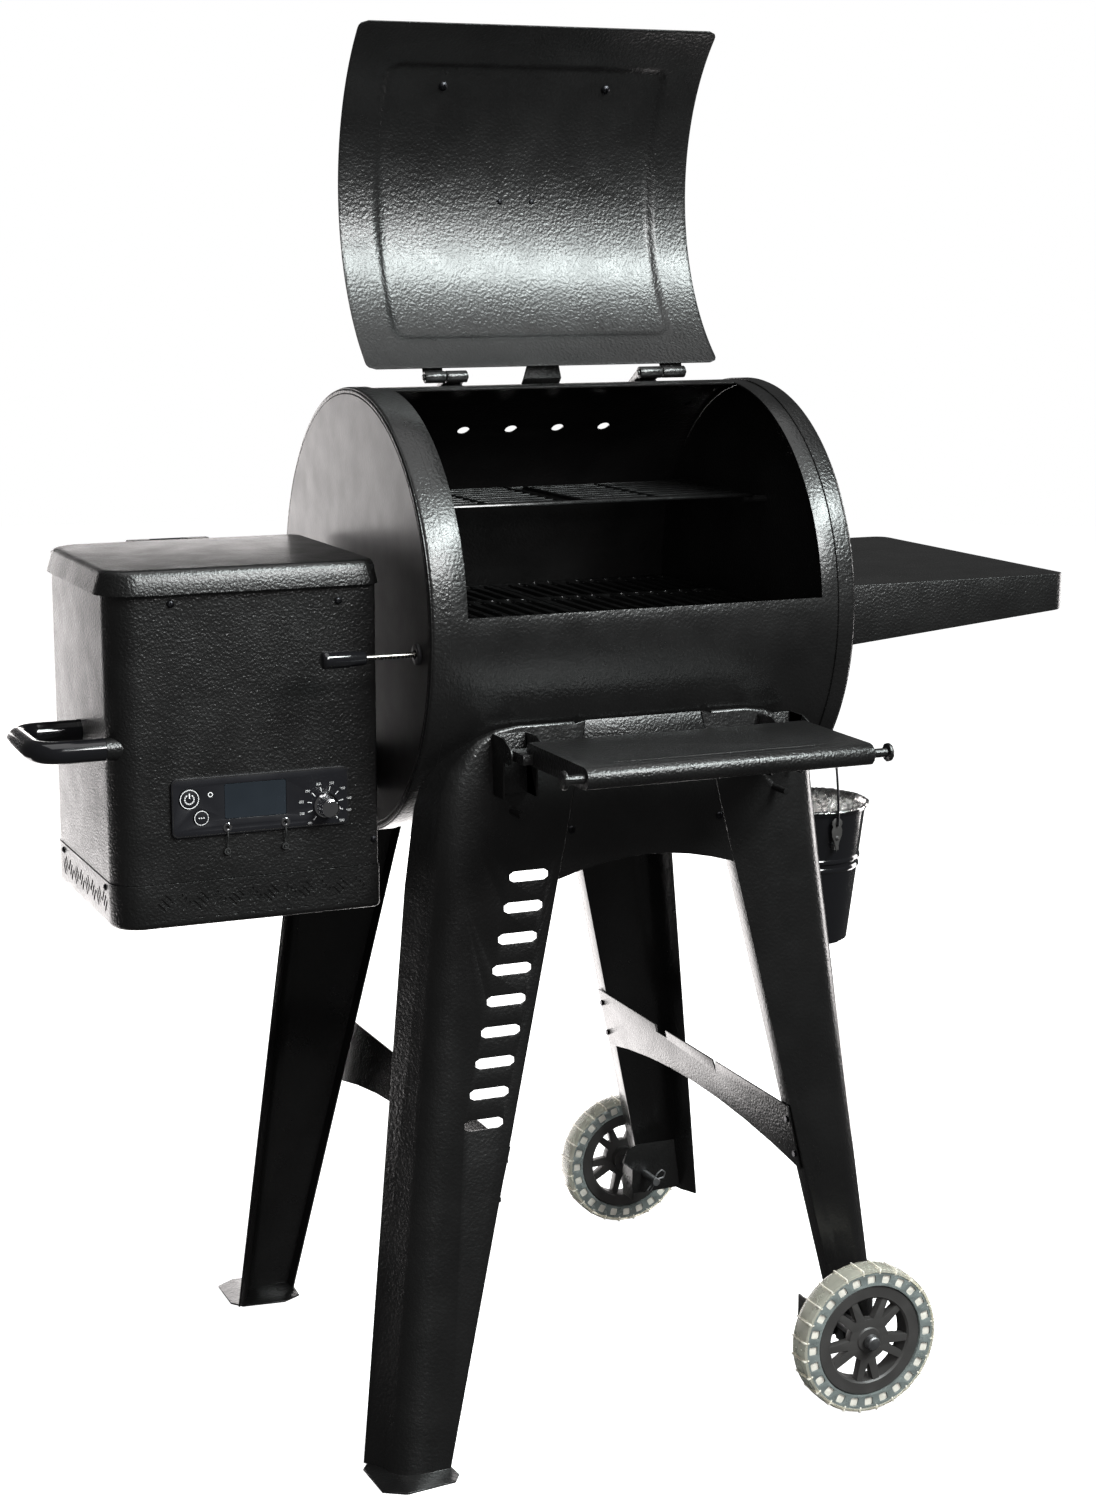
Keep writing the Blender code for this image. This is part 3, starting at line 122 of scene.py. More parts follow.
def worked(data, *modifiers):
    """Evaluate mesh or curve data with (type, settings) modifiers; a cutter setting is a mesh."""
    maker = bpy.data.objects.new("maker", data)
    scene.collection.objects.link(maker)
    helpers = [maker]
    for kind, settings in modifiers:
        modifier = maker.modifiers.new(kind, kind)
        for key, value in settings.items():
            if key == "cutter":
                value = bpy.data.objects.new("cutter", value)
                scene.collection.objects.link(value)
                helpers.append(value)
                key = "object"
            setattr(modifier, key, value)
    graph = bpy.context.evaluated_depsgraph_get()
    mesh = bpy.data.meshes.new_from_object(maker.evaluated_get(graph))
    for helper in helpers:
        bpy.data.objects.remove(helper, do_unlink=True)
    return mesh


def welded(mesh):
    bm = bmesh.new()
    bm.from_mesh(mesh)
    return finished(bm)


def moved(mesh, matrix):
    bm = bmesh.new()
    bm.from_mesh(mesh)
    bm.transform(matrix)
    if matrix.determinant() < 0:
        bmesh.ops.reverse_faces(bm, faces=bm.faces)
    copy = bpy.data.meshes.new("copy")
    bm.to_mesh(copy)
    bm.free()
    return copy


def joined(*meshes):
    bm = bmesh.new()
    for mesh in meshes:
        bm.from_mesh(mesh)
    copy = bpy.data.meshes.new("joined")
    bm.to_mesh(copy)
    bm.free()
    return copy


def along(direction):
    return Vector((0, 0, 1)).rotation_difference(Vector(direction)).to_matrix().to_4x4()


def bevelled(mesh, width, segments=2, angle=35.0):
    settings = {
        "width": width,
        "segments": segments,
        "limit_method": "ANGLE",
        "angle_limit": math.radians(angle),
    }
    return worked(mesh, ("BEVEL", settings))


def box(low, high):
    bm = bmesh.new()
    bmesh.ops.create_cube(bm, size=1.0)
    low = Vector(low)
    high = Vector(high)
    bm.transform(Matrix.Translation((low + high) / 2) @ Matrix.Diagonal((*(high - low), 1.0)))
    return finished(bm)


def bridge(bm, ring, following):
    """Join two closed rings of vertices with faces."""
    for a, b, c, d in zip(ring, ring[1:] + ring[:1], following[1:] + following[:1], following):
        bm.faces.new((a, b, c, d))


def lathe(profile, origin, axis, steps):
    """Turn a closed (radius, height) profile about an axis through origin."""
    rows = []
    bm = bmesh.new()
    for radius, height in profile:
        if radius == 0.0:
            rows.append([bm.verts.new((0, 0, height))] * steps)
            continue
        row = []
        for i in range(steps):
            angle = 2 * math.pi * i / steps
            row.append(bm.verts.new((radius * math.cos(angle), radius * math.sin(angle), height)))
        rows.append(row)
    for upper, lower in zip(rows, rows[1:] + rows[:1]):
        for i in range(steps):
            following = (i + 1) % steps
            ring = [upper[i], upper[following], lower[following], lower[i]]
            corners = list(dict.fromkeys(ring))
            if len(corners) > 2:
                bm.faces.new(corners)
    bm.transform(Matrix.Translation(origin) @ along(axis))
    return finished(bm)


def rod(radius, length, origin, axis, steps):
    """Solid cylinder from origin along an axis."""
    return lathe([(0.0, length), (radius, length), (radius, 0.0), (0.0, 0.0)], origin, axis, steps)


def sleeve(outer, inner, length, origin, axis, steps):
    """Open tube from origin along an axis."""
    return lathe([(outer, length), (outer, 0.0), (inner, 0.0), (inner, length)], origin, axis, steps)


def prism(outline, thickness, origin, right, up, holes=(), bevel=0.0):
    """Fill a flat outline with holes and thicken it evenly about the plane through origin."""
    data = bpy.data.curves.new("outline", "CURVE")
    data.dimensions = "2D"
    data.fill_mode = "BOTH"
    data.extrude = thickness / 2
    for ring in (outline, *holes):
        spline = data.splines.new("POLY")
        spline.points.add(len(ring) - 1)
        for point, (u, v) in zip(spline.points, ring):
            point.co = (u, v, 0.0, 1.0)
        spline.use_cyclic_u = True
    right = Vector(right)
    up = Vector(up)
    turn = Matrix((right, up, right.cross(up))).transposed().to_4x4()
    mesh = welded(moved(worked(data), Matrix.Translation(origin) @ turn))
    return bevelled(mesh, bevel) if bevel else mesh


def tube(points, radius, resolution=4, smooth=False):
    data = bpy.data.curves.new("path", "CURVE")
    data.dimensions = "3D"
    data.bevel_depth = radius
    data.bevel_resolution = resolution
    data.use_fill_caps = True
    if smooth:
        spline = data.splines.new("NURBS")
        spline.order_u = 4
        spline.use_endpoint_u = True
        data.resolution_u = 6
    else:
        spline = data.splines.new("POLY")
    spline.points.add(len(points) - 1)
    for point, place in zip(spline.points, points):
        point.co = (*place, 1.0)
    return welded(worked(data))


def skin(rows):
    """Open surface through a grid of points."""
    across = len(rows[0])
    points = [tuple(p) for row in rows for p in row]
    faces = []
    for r in range(len(rows) - 1):
        for c in range(across - 1):
            a = r * across + c
            faces.append((a, a + 1, a + across + 1, a + across))
    mesh = bpy.data.meshes.new("skin")
    mesh.from_pydata(points, [], faces)
    return mesh


def sheet(rows, thickness, offset=-1.0, bevel=0.0004):
    solid = {"thickness": thickness, "offset": offset, "use_even_offset": True}
    mesh = welded(worked(skin(rows), ("SOLIDIFY", solid)))
    return bevelled(mesh, bevel, 2, 50.0)


def cut(mesh, *cutters):
    settings = {"operation": "DIFFERENCE", "solver": "EXACT", "cutter": joined(*cutters)}
    return worked(mesh, ("BOOLEAN", settings))


# ---------------------------------------------------------------- outlines
def arc(centre, radius, start, end, steps):
    points = []
    for i in range(steps + 1):
        angle = math.radians(start + (end - start) * i / steps)
        points.append((centre[0] + radius * math.cos(angle), centre[1] + radius * math.sin(angle)))
    return points


def circle(centre, radius, steps=32):
    return arc(centre, radius, 0.0, 360.0 - 360.0 / steps, steps - 1)


def rounded(left, right, low, high, radii, steps=6):
    corners = ((left, low, 180.0), (right, low, 270.0), (right, high, 0.0), (left, high, 90.0))
    outline = []
    for (u, v, start), radius in zip(corners, radii):
        inward_u = radius if u == left else -radius
        inward_v = radius if v == low else -radius
        outline += arc((u + inward_u, v + inward_v), radius, start, start + 90.0, steps)
    return outline


def turned(points, degrees, centre=(0.0, 0.0)):
    """Turn an outline about its origin, then move it."""
    sine = math.sin(math.radians(degrees))
    cosine = math.cos(math.radians(degrees))
    return [(centre[0] + u * cosine - v * sine, centre[1] + u * sine + v * cosine) for u, v in points]


def capsule(centre, length, width, turn=0.0, steps=6):
    half = (length - width) / 2
    points = arc((half, 0), width / 2, -90, 90, steps) + arc((-half, 0), width / 2, 90, 270, steps)
    return turned(points, turn, centre)


def on_barrel(x, angle, radius):
    return Vector((x, radius * math.sin(angle), AXIS_Z + radius * math.cos(angle)))


def frame_y(z):
    return FRAME_TOP_Y + FRAME_SPREAD * (FRAME_TOP_Z - z) / FRAME_TOP_Z


def opened(mesh):
    """Turn a piece of the closed lid about its pin to the stored open place."""
    place = Matrix.Translation(LID_PIN)
    return moved(mesh, place @ Matrix.Rotation(-LID_TRAVEL, 4, "X") @ place.inverted())


# ---------------------------------------------------------------- materials
class Finish:
    """A Principled material with helpers that feed it noise in object space."""

    def __init__(self, name, colour, roughness, metallic=0.0, **sockets):
        self.material = bpy.data.materials.new(name)
        self.material.use_nodes = True
        self.tree = self.material.node_tree
        self.shader = self.tree.nodes["Principled BSDF"]
        self.shader.inputs["Base Color"].default_value = (*colour, 1.0)
        self.shader.inputs["Roughness"].default_value = roughness
        self.shader.inputs["Metallic"].default_value = metallic
        self.material.diffuse_color = (*colour, 1.0)
        self.colour = colour
        self.roughness = roughness
        for key, value in sockets.items():
            self.shader.inputs[key.replace("_", " ")].default_value = value
        self.place = self.tree.nodes.new("ShaderNodeTexCoord").outputs["Object"]

    def noise(self, scale, detail=2.0, stretch=(1, 1, 1)):
        mapping = self.tree.nodes.new("ShaderNodeMapping")
        mapping.inputs["Scale"].default_value = stretch
        self.tree.links.new(self.place, mapping.inputs["Vector"])
        node = self.tree.nodes.new("ShaderNodeTexNoise")
        node.inputs["Scale"].default_value = scale
        node.inputs["Detail"].default_value = detail
        self.tree.links.new(mapping.outputs["Vector"], node.inputs["Vector"])
        return node.outputs["Fac"]

    def cells(self, scale):
        node = self.tree.nodes.new("ShaderNodeTexVoronoi")
        node.feature = "SMOOTH_F1"
        node.inputs["Scale"].default_value = scale
        self.tree.links.new(self.place, node.inputs["Vector"])
        return node.outputs["Distance"]

    def spread(self, value, low, high):
        """Stretch the middle of a noise's range between two values."""
        node = self.tree.nodes.new("ShaderNodeMapRange")
        node.inputs["From Min"].default_value = 0.3
        node.inputs["From Max"].default_value = 0.7
        node.inputs["To Min"].default_value = low
        node.inputs["To Max"].default_value = high
        self.tree.links.new(value, node.inputs["Value"])
        return node.outputs["Result"]

    def bump(self, *layers):
        """Stack (height, strength, distance) layers into the shader's normal."""
        last = None
        for height, strength, distance in layers:
            node = self.tree.nodes.new("ShaderNodeBump")
            node.inputs["Strength"].default_value = strength
            node.inputs["Distance"].default_value = distance
            self.tree.links.new(height, node.inputs["Height"])
            if last:
                self.tree.links.new(last, node.inputs["Normal"])
            last = node.outputs["Normal"]
        self.tree.links.new(last, self.shader.inputs["Normal"])
        return self

    def vary(self, value, darker, lighter):
        """Run the base colour between two multiples of itself."""
        ramp = self.tree.nodes.new("ShaderNodeValToRGB")
        ramp.color_ramp.elements[0].position = 0.3
        ramp.color_ramp.elements[1].position = 0.7
        ramp.color_ramp.elements[0].color = (*(c * darker for c in self.colour), 1.0)
        ramp.color_ramp.elements[1].color = (*(min(c * lighter, 1.0) for c in self.colour), 1.0)
        self.tree.links.new(value, ramp.inputs["Fac"])
        self.tree.links.new(ramp.outputs["Color"], self.shader.inputs["Base Color"])
        return self

    def soot(self, radius, axis_height):
        """Take the gloss off everything nearer than radius to the barrel's axis."""
        mapping = self.tree.nodes.new("ShaderNodeMapping")
        mapping.inputs["Location"].default_value = (0, 0, -axis_height)
        mapping.inputs["Scale"].default_value = (0, 1, 1)
        self.tree.links.new(self.place, mapping.inputs["Vector"])
        reach = self.tree.nodes.new("ShaderNodeVectorMath")
        reach.operation = "LENGTH"
        self.tree.links.new(mapping.outputs["Vector"], reach.inputs[0])
        for socket, matt, clean in (("Specular IOR Level", 0.10, 0.5), ("Coat Weight", 0.0, 0.2)):
            gloss = self.tree.nodes.new("ShaderNodeMapRange")
            gloss.inputs["From Min"].default_value = radius - 0.0001
            gloss.inputs["From Max"].default_value = radius
            gloss.inputs["To Min"].default_value = matt
            gloss.inputs["To Max"].default_value = clean
            self.tree.links.new(reach.outputs["Value"], gloss.inputs["Value"])
            self.tree.links.new(gloss.outputs["Result"], self.shader.inputs[socket])
        return self

    def polish(self, value, low, high):
        self.tree.links.new(self.spread(value, low, high), self.shader.inputs["Roughness"])
        return self


def powder_coat(name, grain, depth, roughness, colour=(0.0062, 0.0060, 0.0060)):
    """Black powder coat whose orange peel has a grain size in metres and a depth."""
    look = Finish(name, colour, roughness, Coat_Weight=0.2, Coat_Roughness=0.20)
    peel = look.noise(1.0 / grain, 1.5)
    look.bump((peel, 1.0, depth), (look.noise(0.3 / grain, 2.0), 0.12, depth))
    look.vary(look.noise(14.0, 4.0), 0.75, 1.3)
    return look.polish(look.noise(30.0, 3.0), roughness - 0.04, roughness + 0.05)


def brushed(name, colour, roughness, stretch):
    look = Finish(name, colour, roughness, 1.0)
    lines = look.noise(90.0, 3.0, stretch)
    look.bump((lines, 0.2, 0.0002)).vary(look.noise(25.0, 3.0), 0.8, 1.1)
    return look.polish(lines, roughness - 0.06, roughness + 0.1).material


def treated(name, colour, roughness, bump, shade, gloss, metallic=0.0, **sockets):
    """A finish with a (scale, detail, strength, distance) bump, a (scale, detail, darker, lighter)
    shade and a (scale, detail, low, high) range of roughness; bump and shade may be None."""
    look = Finish(name, colour, roughness, metallic, **sockets)
    if bump:
        look.bump((look.noise(*bump[:2]), *bump[2:]))
    if shade:
        look.vary(look.noise(*shade[:2]), *shade[2:])
    return look.polish(look.noise(*gloss[:2]), *gloss[2:]).material


def moulded(name, colour, roughness):
    gloss = (60.0, 2.0, roughness - 0.05, roughness + 0.06)
    return treated(name, colour, roughness, (900.0, 2.0, 0.4, 0.00012), (40.0, 3.0, 0.85, 1.15), gloss)


def crumpled_foil():
    look = Finish("crumpled_foil", (0.80, 0.79, 0.78), 0.24, 1.0)
    look.bump((look.cells(190.0), 0.7, 0.0010), (look.noise(500.0, 3.0), 0.3, 0.0004))
    return look.polish(look.noise(90.0, 3.0), 0.18, 0.36).material


def make_materials():
    return {
        "hammered": powder_coat("hammered_coat", 0.0032, 0.00074, 0.31).material,
        "peel": powder_coat("orange_peel_coat", 0.0032, 0.00058, 0.31).soot(SOOT_RADIUS, AXIS_Z).material,
        "fine": powder_coat("fine_coat", 0.0027, 0.00088, 0.35).material,
        "satin": powder_coat("satin_coat", 0.0030, 0.00008, 0.34, (0.013, 0.012, 0.012)).material,
        "inside": powder_coat("inside_coat", 0.0030, 0.00030, 0.60, (0.006, 0.006, 0.006)).material,
        "leg": powder_coat("leg_coat", 0.0034, 0.00056, 0.30).material,
        "steel": brushed("sheet_steel", (0.50, 0.50, 0.51), 0.34, (1, 1, 8)),
        "zinc": brushed("zinc_plate", (0.42, 0.42, 0.43), 0.38, (1, 4, 1)),
        "rod": brushed("polished_rod", (0.26, 0.25, 0.23), 0.24, (12, 1, 1)),
        "black_bolt": brushed("black_oxide", (0.05, 0.05, 0.055), 0.38, (1, 1, 1)),
        "plastic": moulded("black_plastic", (0.014, 0.014, 0.015), 0.42),
        "hub": moulded("hub_plastic", (0.042, 0.040, 0.039), 0.46),
        "rubber": moulded("black_rubber", (0.018, 0.018, 0.018), 0.62),
        "legend": moulded("white_legend", (0.72, 0.72, 0.72), 0.45),
        "circuit": moulded("circuit_board", (0.02, 0.12, 0.05), 0.50),
        "gloss": treated("gloss_black", (0.006, 0.006, 0.007), 0.12, (60.0, 2.0, 0.05, 0.0002), None,
                         (40.0, 2.0, 0.10, 0.17), Coat_Weight=0.6, Coat_Roughness=0.05),
        "panel": treated("panel_film", (0.010, 0.010, 0.012), 0.30, (800.0, 2.0, 0.15, 0.00006), None,
                         (50.0, 2.0, 0.26, 0.34)),
        "chrome": treated("chrome_plate", (0.82, 0.82, 0.84), 0.07, (60.0, 2.0, 0.04, 0.0001), None,
                          (80.0, 2.0, 0.05, 0.12), metallic=1.0),
        "display": treated("display_window", (0.015, 0.019, 0.024), 0.16, None, (20.0, 2.0, 0.85, 1.15),
                           (50.0, 2.0, 0.12, 0.2), Coat_Weight=0.4),
        "foil": crumpled_foil(),
        "iron": treated("porcelain_iron", (0.005, 0.005, 0.005), 0.13, (260.0, 3.0, 0.12, 0.0003),
                        (40.0, 4.0, 0.7, 1.5), (60.0, 3.0, 0.10, 0.17)),
        "clear": treated("clear_tread", (0.80, 0.77, 0.66), 0.16, (180.0, 3.0, 0.25, 0.0004),
                         (30.0, 3.0, 0.82, 1.08), (90.0, 2.0, 0.12, 0.3),
                         Transmission_Weight=0.7, IOR=1.25),
        "tint": treated("tinted_sidewall", (0.22, 0.25, 0.245), 0.22, (200.0, 3.0, 0.25, 0.0003),
                        (50.0, 3.0, 0.75, 1.2), (90.0, 2.0, 0.16, 0.34),
                        Transmission_Weight=0.3, IOR=1.3),
        "frost": treated("frosted_pocket", (0.93, 0.89, 0.80), 0.35, (260.0, 3.0, 0.6, 0.0008),
                         (120.0, 3.0, 0.82, 1.05), (90.0, 2.0, 0.3, 0.45),
                         Transmission_Weight=0.2, IOR=1.3),
    }


LOOKS = make_materials()


def show(name, mesh, look, body="grill_body", replaces=(), sharp=30.0):
    """Put a finished mesh at the frame's place for it, riding on a body."""
    mesh.materials.clear()
    mesh.materials.append(LOOKS[look])
    mesh.shade_smooth()
    mesh.set_sharp_from_angle(angle=math.radians(sharp))
    piece = bpy.data.objects.new(name, mesh)
    piece.location = ORIGIN
    scene.collection.objects.link(piece)
    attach(piece, body)
    if replaces:
        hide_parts(*replaces)
    return piece


def refined(node, look, bevel=0.0006, segments=2, cutters=(), sharp=30.0):
    """A copy of a CAD solid with rounded edges and clean shading."""
    mesh = welded(moved(frame["nodes"][node].data, Matrix.Translation(-ORIGIN)))
    bm = bmesh.new()
    bm.from_mesh(mesh)
    bmesh.ops.dissolve_limit(
        bm, angle_limit=math.radians(0.5), verts=bm.verts, edges=bm.edges, use_dissolve_boundaries=False
    )
    mesh = finished(bm)
    if cutters:
        mesh = cut(mesh, *cutters)
    if bevel:
        mesh = bevelled(mesh, bevel, segments)
    body = frame["nodes"][node]["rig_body"]
    return show(node + "_fine", mesh, look, body, [node], sharp)


# ---------------------------------------------------------------- fasteners
def pan_head(place, normal, radius, height=None):
    """Domed screw head with a cross recess."""
    height = height or radius * 0.6
    profile = [(0.0, height), (radius * 0.45, height * 0.93), (radius * 0.8, height * 0.65)]
    profile += [(radius, height * 0.2), (radius, 0.0), (0.0, 0.0)]
    head = lathe(profile, (0, 0, 0), (0, 0, 1), 20)
    arm = radius * 0.55
    width = radius * 0.13
    top = height * 1.2
    head = cut(head, box((-arm, -width, height * 0.55), (arm, width, top)))
    head = cut(head, box((-width, -arm, height * 0.50), (width, arm, top)))
    return moved(head, Matrix.Translation(place) @ along(normal))


def hex_bolt(place, normal, radius, washer=True):
    """Hexagon head, its top edge chamfered, with or without a washer."""
    top = radius * 0.8
    profile = [(0.0, top), (radius * 0.85, top), (radius, radius * 0.66), (radius, 0.0), (0.0, 0.0)]
    parts = [lathe(profile, (0, 0, 0), (0, 0, 1), 6)]
    if washer:
        rim = radius * 1.35
        profile = [(0.0, radius * 0.16), (rim, radius * 0.14), (rim, 0.0), (0.0, 0.0)]
        parts.append(lathe(profile, (0, 0, 0), (0, 0, 1), 24))
    return moved(joined(*parts), Matrix.Translation(place) @ along(normal))


# ---------------------------------------------------------------- barrel and caps
def barrel_shell():
    """Rolled sheet with its front opening, before the vents are cut."""
    steps, rear_steps = 24, 80
    angles = [OPENING_REAR + (OPENING_FRONT - OPENING_REAR) * i / steps for i in range(steps + 1)]
    rest = 2 * math.pi + OPENING_FRONT - OPENING_REAR
    angles += [OPENING_FRONT - rest * i / rear_steps for i in range(1, rear_steps)]
    stations = (-BARREL_HALF, -0.2185, -OPENING_HALF, -0.07, 0.07, OPENING_HALF, 0.2185, BARREL_HALF)
    bm = bmesh.new()
    rings = [[bm.verts.new(on_barrel(x, a, BARREL_RADIUS)) for a in angles] for x in stations]
    for c in range(len(stations) - 1):
        inside = abs(stations[c] + stations[c + 1]) / 2 < OPENING_HALF - 0.001
        for r in range(len(angles)):
            if inside and r < steps:
                continue
            following = (r + 1) % len(angles)
            bm.faces.new((rings[c][r], rings[c + 1][r], rings[c + 1][following], rings[c][following]))
    solid = {"thickness": BARREL_SHEET, "offset": -1.0, "use_even_offset": True}
    return welded(worked(finished(bm), ("SOLIDIFY", solid)))


def make_barrel():
    vent_angle, vent_radius, vent_pitch = math.radians(41.3), 0.007, 0.058
    vents = []
    for i in range(5):
        start = on_barrel(-0.109 + vent_pitch * i, vent_angle, 0.21)
        end = on_barrel(-0.109 + vent_pitch * i, vent_angle, 0.25)
        vents.append(rod(vent_radius, (end - start).length, start, end - start, 28))
    shell = bevelled(cut(barrel_shell(), *vents), 0.0005, 2, 60.0)
    show("barrel_skin", shell, "peel", replaces=["barrel_shell"])

    under_grates = 0.8417
    rear = box((-0.236, 0.197, under_grates - 0.002), (0.236, 0.2315, under_grates))
    front = box((-0.100, -0.2285, 0.826), (0.236, -0.176, 0.828))
    lip = box((-0.100, -0.178, 0.8265), (0.236, -0.176, under_grates))
    show("grate_ledges", bevelled(joined(rear, front, lip), 0.0004), "inside")
    bolts = []
    for x in (-0.16, 0.0, 0.16):
        bolts.append(hex_bolt(on_barrel(x, math.radians(58.0), BARREL_RADIUS), (0, 0.85, 0.53), 0.0045))
    show("barrel_bolts", joined(*bolts), "black_bolt")


def end_cap(name, node, side):
    face = BARREL_HALF + 0.0015
    inner = BARREL_HALF + 0.0003
    rim = BARREL_RADIUS + 0.0003
    seam = 0.2285
    disc = [(0.0, face), (seam - 0.0010, face), (seam, face - 0.0008), (seam, inner), (0.0, inner)]
    edge = BARREL_HALF - 0.0195
    bend = 0.0050
    band = [(seam + 0.0002, face - 0.0008), (seam + 0.0006, face - 0.0002)]
    band += [(x, y + face - bend) for x, y in arc((CAP_RADIUS - bend, 0.0), bend, 80, 0, 6)]
    band += [(CAP_RADIUS, edge + 0.0005), (CAP_RADIUS - 0.0005, edge)]
    band += [(rim, edge), (rim, inner), (seam + 0.0002, inner)]
    meshes = [lathe(profile, (0, 0, AXIS_Z), (1, 0, 0), 160) for profile in (disc, band)]
    if side < 0:
        meshes = [moved(mesh, Matrix.Diagonal((-1, 1, 1, 1))) for mesh in meshes]
    show(name, meshes[0], "satin" if side < 0 else "fine", replaces=[node])
    show(name + "_rim", meshes[1], "hammered")
    peg_z = 0.9637
    pegs = []
    for y in (-0.030, 0.110):
        pegs.append(tube([(side * 0.210, y, peg_z), (side * 0.2382, y, peg_z)], 0.004, 3))
    show(name + "_rack_pegs", joined(*pegs), "inside")


def make_caps():
    end_cap("left_cap_skin", "left_end_cap", -1)
    end_cap("right_cap_skin", "right_end_cap", 1)
    refined("lever_bush", "plastic")
    refined("temperature_probe", "steel", 0.0004)


# ---------------------------------------------------------------- lid
def raised(x, angle):
    """Share of the pressed panel's depth at a point of the lid: 0 outside, 1 inside."""
    half_x, corner, blend = 0.163, 0.014, 0.007
    rear_margin, front_margin = 0.045, 0.055
    half_y = (LID_LENGTH - rear_margin - front_margin) / 2
    u = max(0.0, abs(x) - half_x + corner)
    v = max(0.0, abs(LID_RADIUS * (LID_REAR - angle) - rear_margin - half_y) - half_y + corner)
    outside = math.hypot(u, v) - corner
    t = min(max(0.5 - outside / blend, 0.0), 1.0)
    return t * t * (3 - 2 * t)


def lid_sheet():
    """Curved sheet with rounded corners and a pressed panel."""
    corner, press, steps, across = 0.010, 0.0032, 110, 100
    rows = []
    for i in range(steps + 1):
        angle = LID_REAR + (LID_FRONT - LID_REAR) * i / steps
        pull = max(0.0, corner - min(i, steps - i) * LID_LENGTH / steps)
        row = []
        for j in range(across + 1):
            x = LID_HALF * (-1 + 2 * j / across)
            if pull and abs(x) > LID_HALF - corner:
                inset = corner - math.sqrt(max(0.0, corner ** 2 - pull ** 2))
                x = math.copysign(min(abs(x), LID_HALF - inset), x)
            row.append(on_barrel(x, angle, LID_RADIUS + press * raised(x, angle)))
        rows.append(row)
    return sheet(rows, 0.0015)


def make_lid():
    show("lid_pressing", opened(lid_sheet()), "hammered", "lid", ["lid_sheet"])
    post_x, screw_angle = 0.096, math.radians(-43.6)
    heads = []
    for x, angle, radius in (
        (-post_x, GRIP_ANGLE, 0.0052), (post_x, GRIP_ANGLE, 0.0052),
        (-0.019, screw_angle, 0.0030), (0.019, screw_angle, 0.0030),
    ):
        inward = Vector((0, -math.sin(angle), -math.cos(angle)))
        place = on_barrel(x, angle, LID_RADIUS + 0.0030 * raised(x, angle))
        heads.append(pan_head(place, inward, radius))
    show("lid_screws", opened(joined(*heads)), "black_bolt", "lid")

    reach = LID_RADIUS + 0.0018
    far = reach + 0.045
    bar = tube([on_barrel(x, GRIP_ANGLE, far) for x in (-0.125, -0.1245, 0.1245, 0.125)], 0.010, 10)
    posts = []
    for x in (-post_x, post_x):
        start = on_barrel(x, GRIP_ANGLE, reach + 0.0032)
        axis = on_barrel(x, GRIP_ANGLE, far) - start
        length = axis.length
        post = [(0.0, length), (0.0070, length), (0.0062, 0.010), (0.0072, 0.003), (0.011, 0.0), (0.0, 0.0)]
        posts.append(lathe(post, start, axis, 24))
    grip = bevelled(opened(joined(bar, *posts)), 0.0015, 3)
    show("lid_grip", grip, "fine", "lid", ["lid_handle"])
    for node in ("left_lid_hinge", "right_lid_hinge", "left_barrel_hinge", "right_barrel_hinge"):
        refined(node, "hammered")
    refined("lid_stop_bracket", "hammered")


# ---------------------------------------------------------------- leg frame
def brace_bolts():
    """Two bolts where each end of each brace meets its leg."""
    foot_x, top_x, top_z = 0.240, 0.100, 0.610
    heads = []
    for side_x in (-1, 1):
        for side_y in (-1, 1):
            for z in (0.275, 0.315):
                x = side_x * (top_x + (foot_x - top_x) * (top_z - z) / top_z - 0.0022)
                place = (x, side_y * (frame_y(z) - 0.011), z)
                heads.append(hex_bolt(place, (-side_x, 0, 0), 0.0038, False))
    return heads


def make_legs():
    for node in ("front_left_leg", "rear_left_leg", "front_right_leg", "rear_right_leg"):
        refined(node, "leg", 0.0009)
    for node in ("front_apron", "rear_apron", "left_end_brace", "right_end_brace"):
        refined(node, "fine", 0.0005)
    show("brace_bolts", joined(*brace_bolts()), "black_bolt")
    screws = []
    for side in (-1, 1):
        for x, z in ((-0.16, 0.735), (-0.085, 0.655), (0.085, 0.655), (0.16, 0.735)):
            screws.append(pan_head((x, side * (frame_y(z) + 0.0002), z), (0, side, 0.07), 0.0042))
    show("frame_screws", joined(*screws), "black_bolt")


# ---------------------------------------------------------------- wheels
WHEEL_Y = 0.3095
AXLE_END = 0.333
BLOCKS = 24


def wheel_hub(centre, side):
    """Deep rim, ten-window spoked disc and centre boss."""
    right = (-side, 0, 0)
    rim = [(0.0620, 0.0105), (0.0605, 0.0120), (0.0490, 0.0120), (0.0470, 0.0100), (0.0470, -0.0100)]
    rim += [(0.0490, -0.0120), (0.0605, -0.0120), (0.0620, -0.0105)]
    windows = []
    for i in range(5):
        start = 90.0 + 72.0 * i
        turn = start + 36.0
        wide = arc((0, 0), 0.0478, start - 19.0, start + 19.0, 8)
        narrow = arc((0, 0), 0.0478, turn - 8.0, turn + 8.0, 4)
        windows.append(wide + arc((0, 0), 0.0235, start + 13.0, start - 13.0, 6))
        windows.append(narrow + arc((0, 0), 0.0270, turn + 1.5, turn - 1.5, 2))
    face = centre + Vector((0, side * 0.0055, 0))
    spokes = prism(circle((0, 0), 0.0485, 80), 0.010, face, right, (0, 0, 1), windows, 0.0010)
    boss = [(0.0130, 0.0118), (0.0145, 0.0105), (0.0160, -0.0118), (0.0056, -0.0118), (0.0056, 0.0118)]
    return joined(lathe(rim, centre, (0, side, 0), 96), spokes, lathe(boss, centre, (0, side, 0), 40))


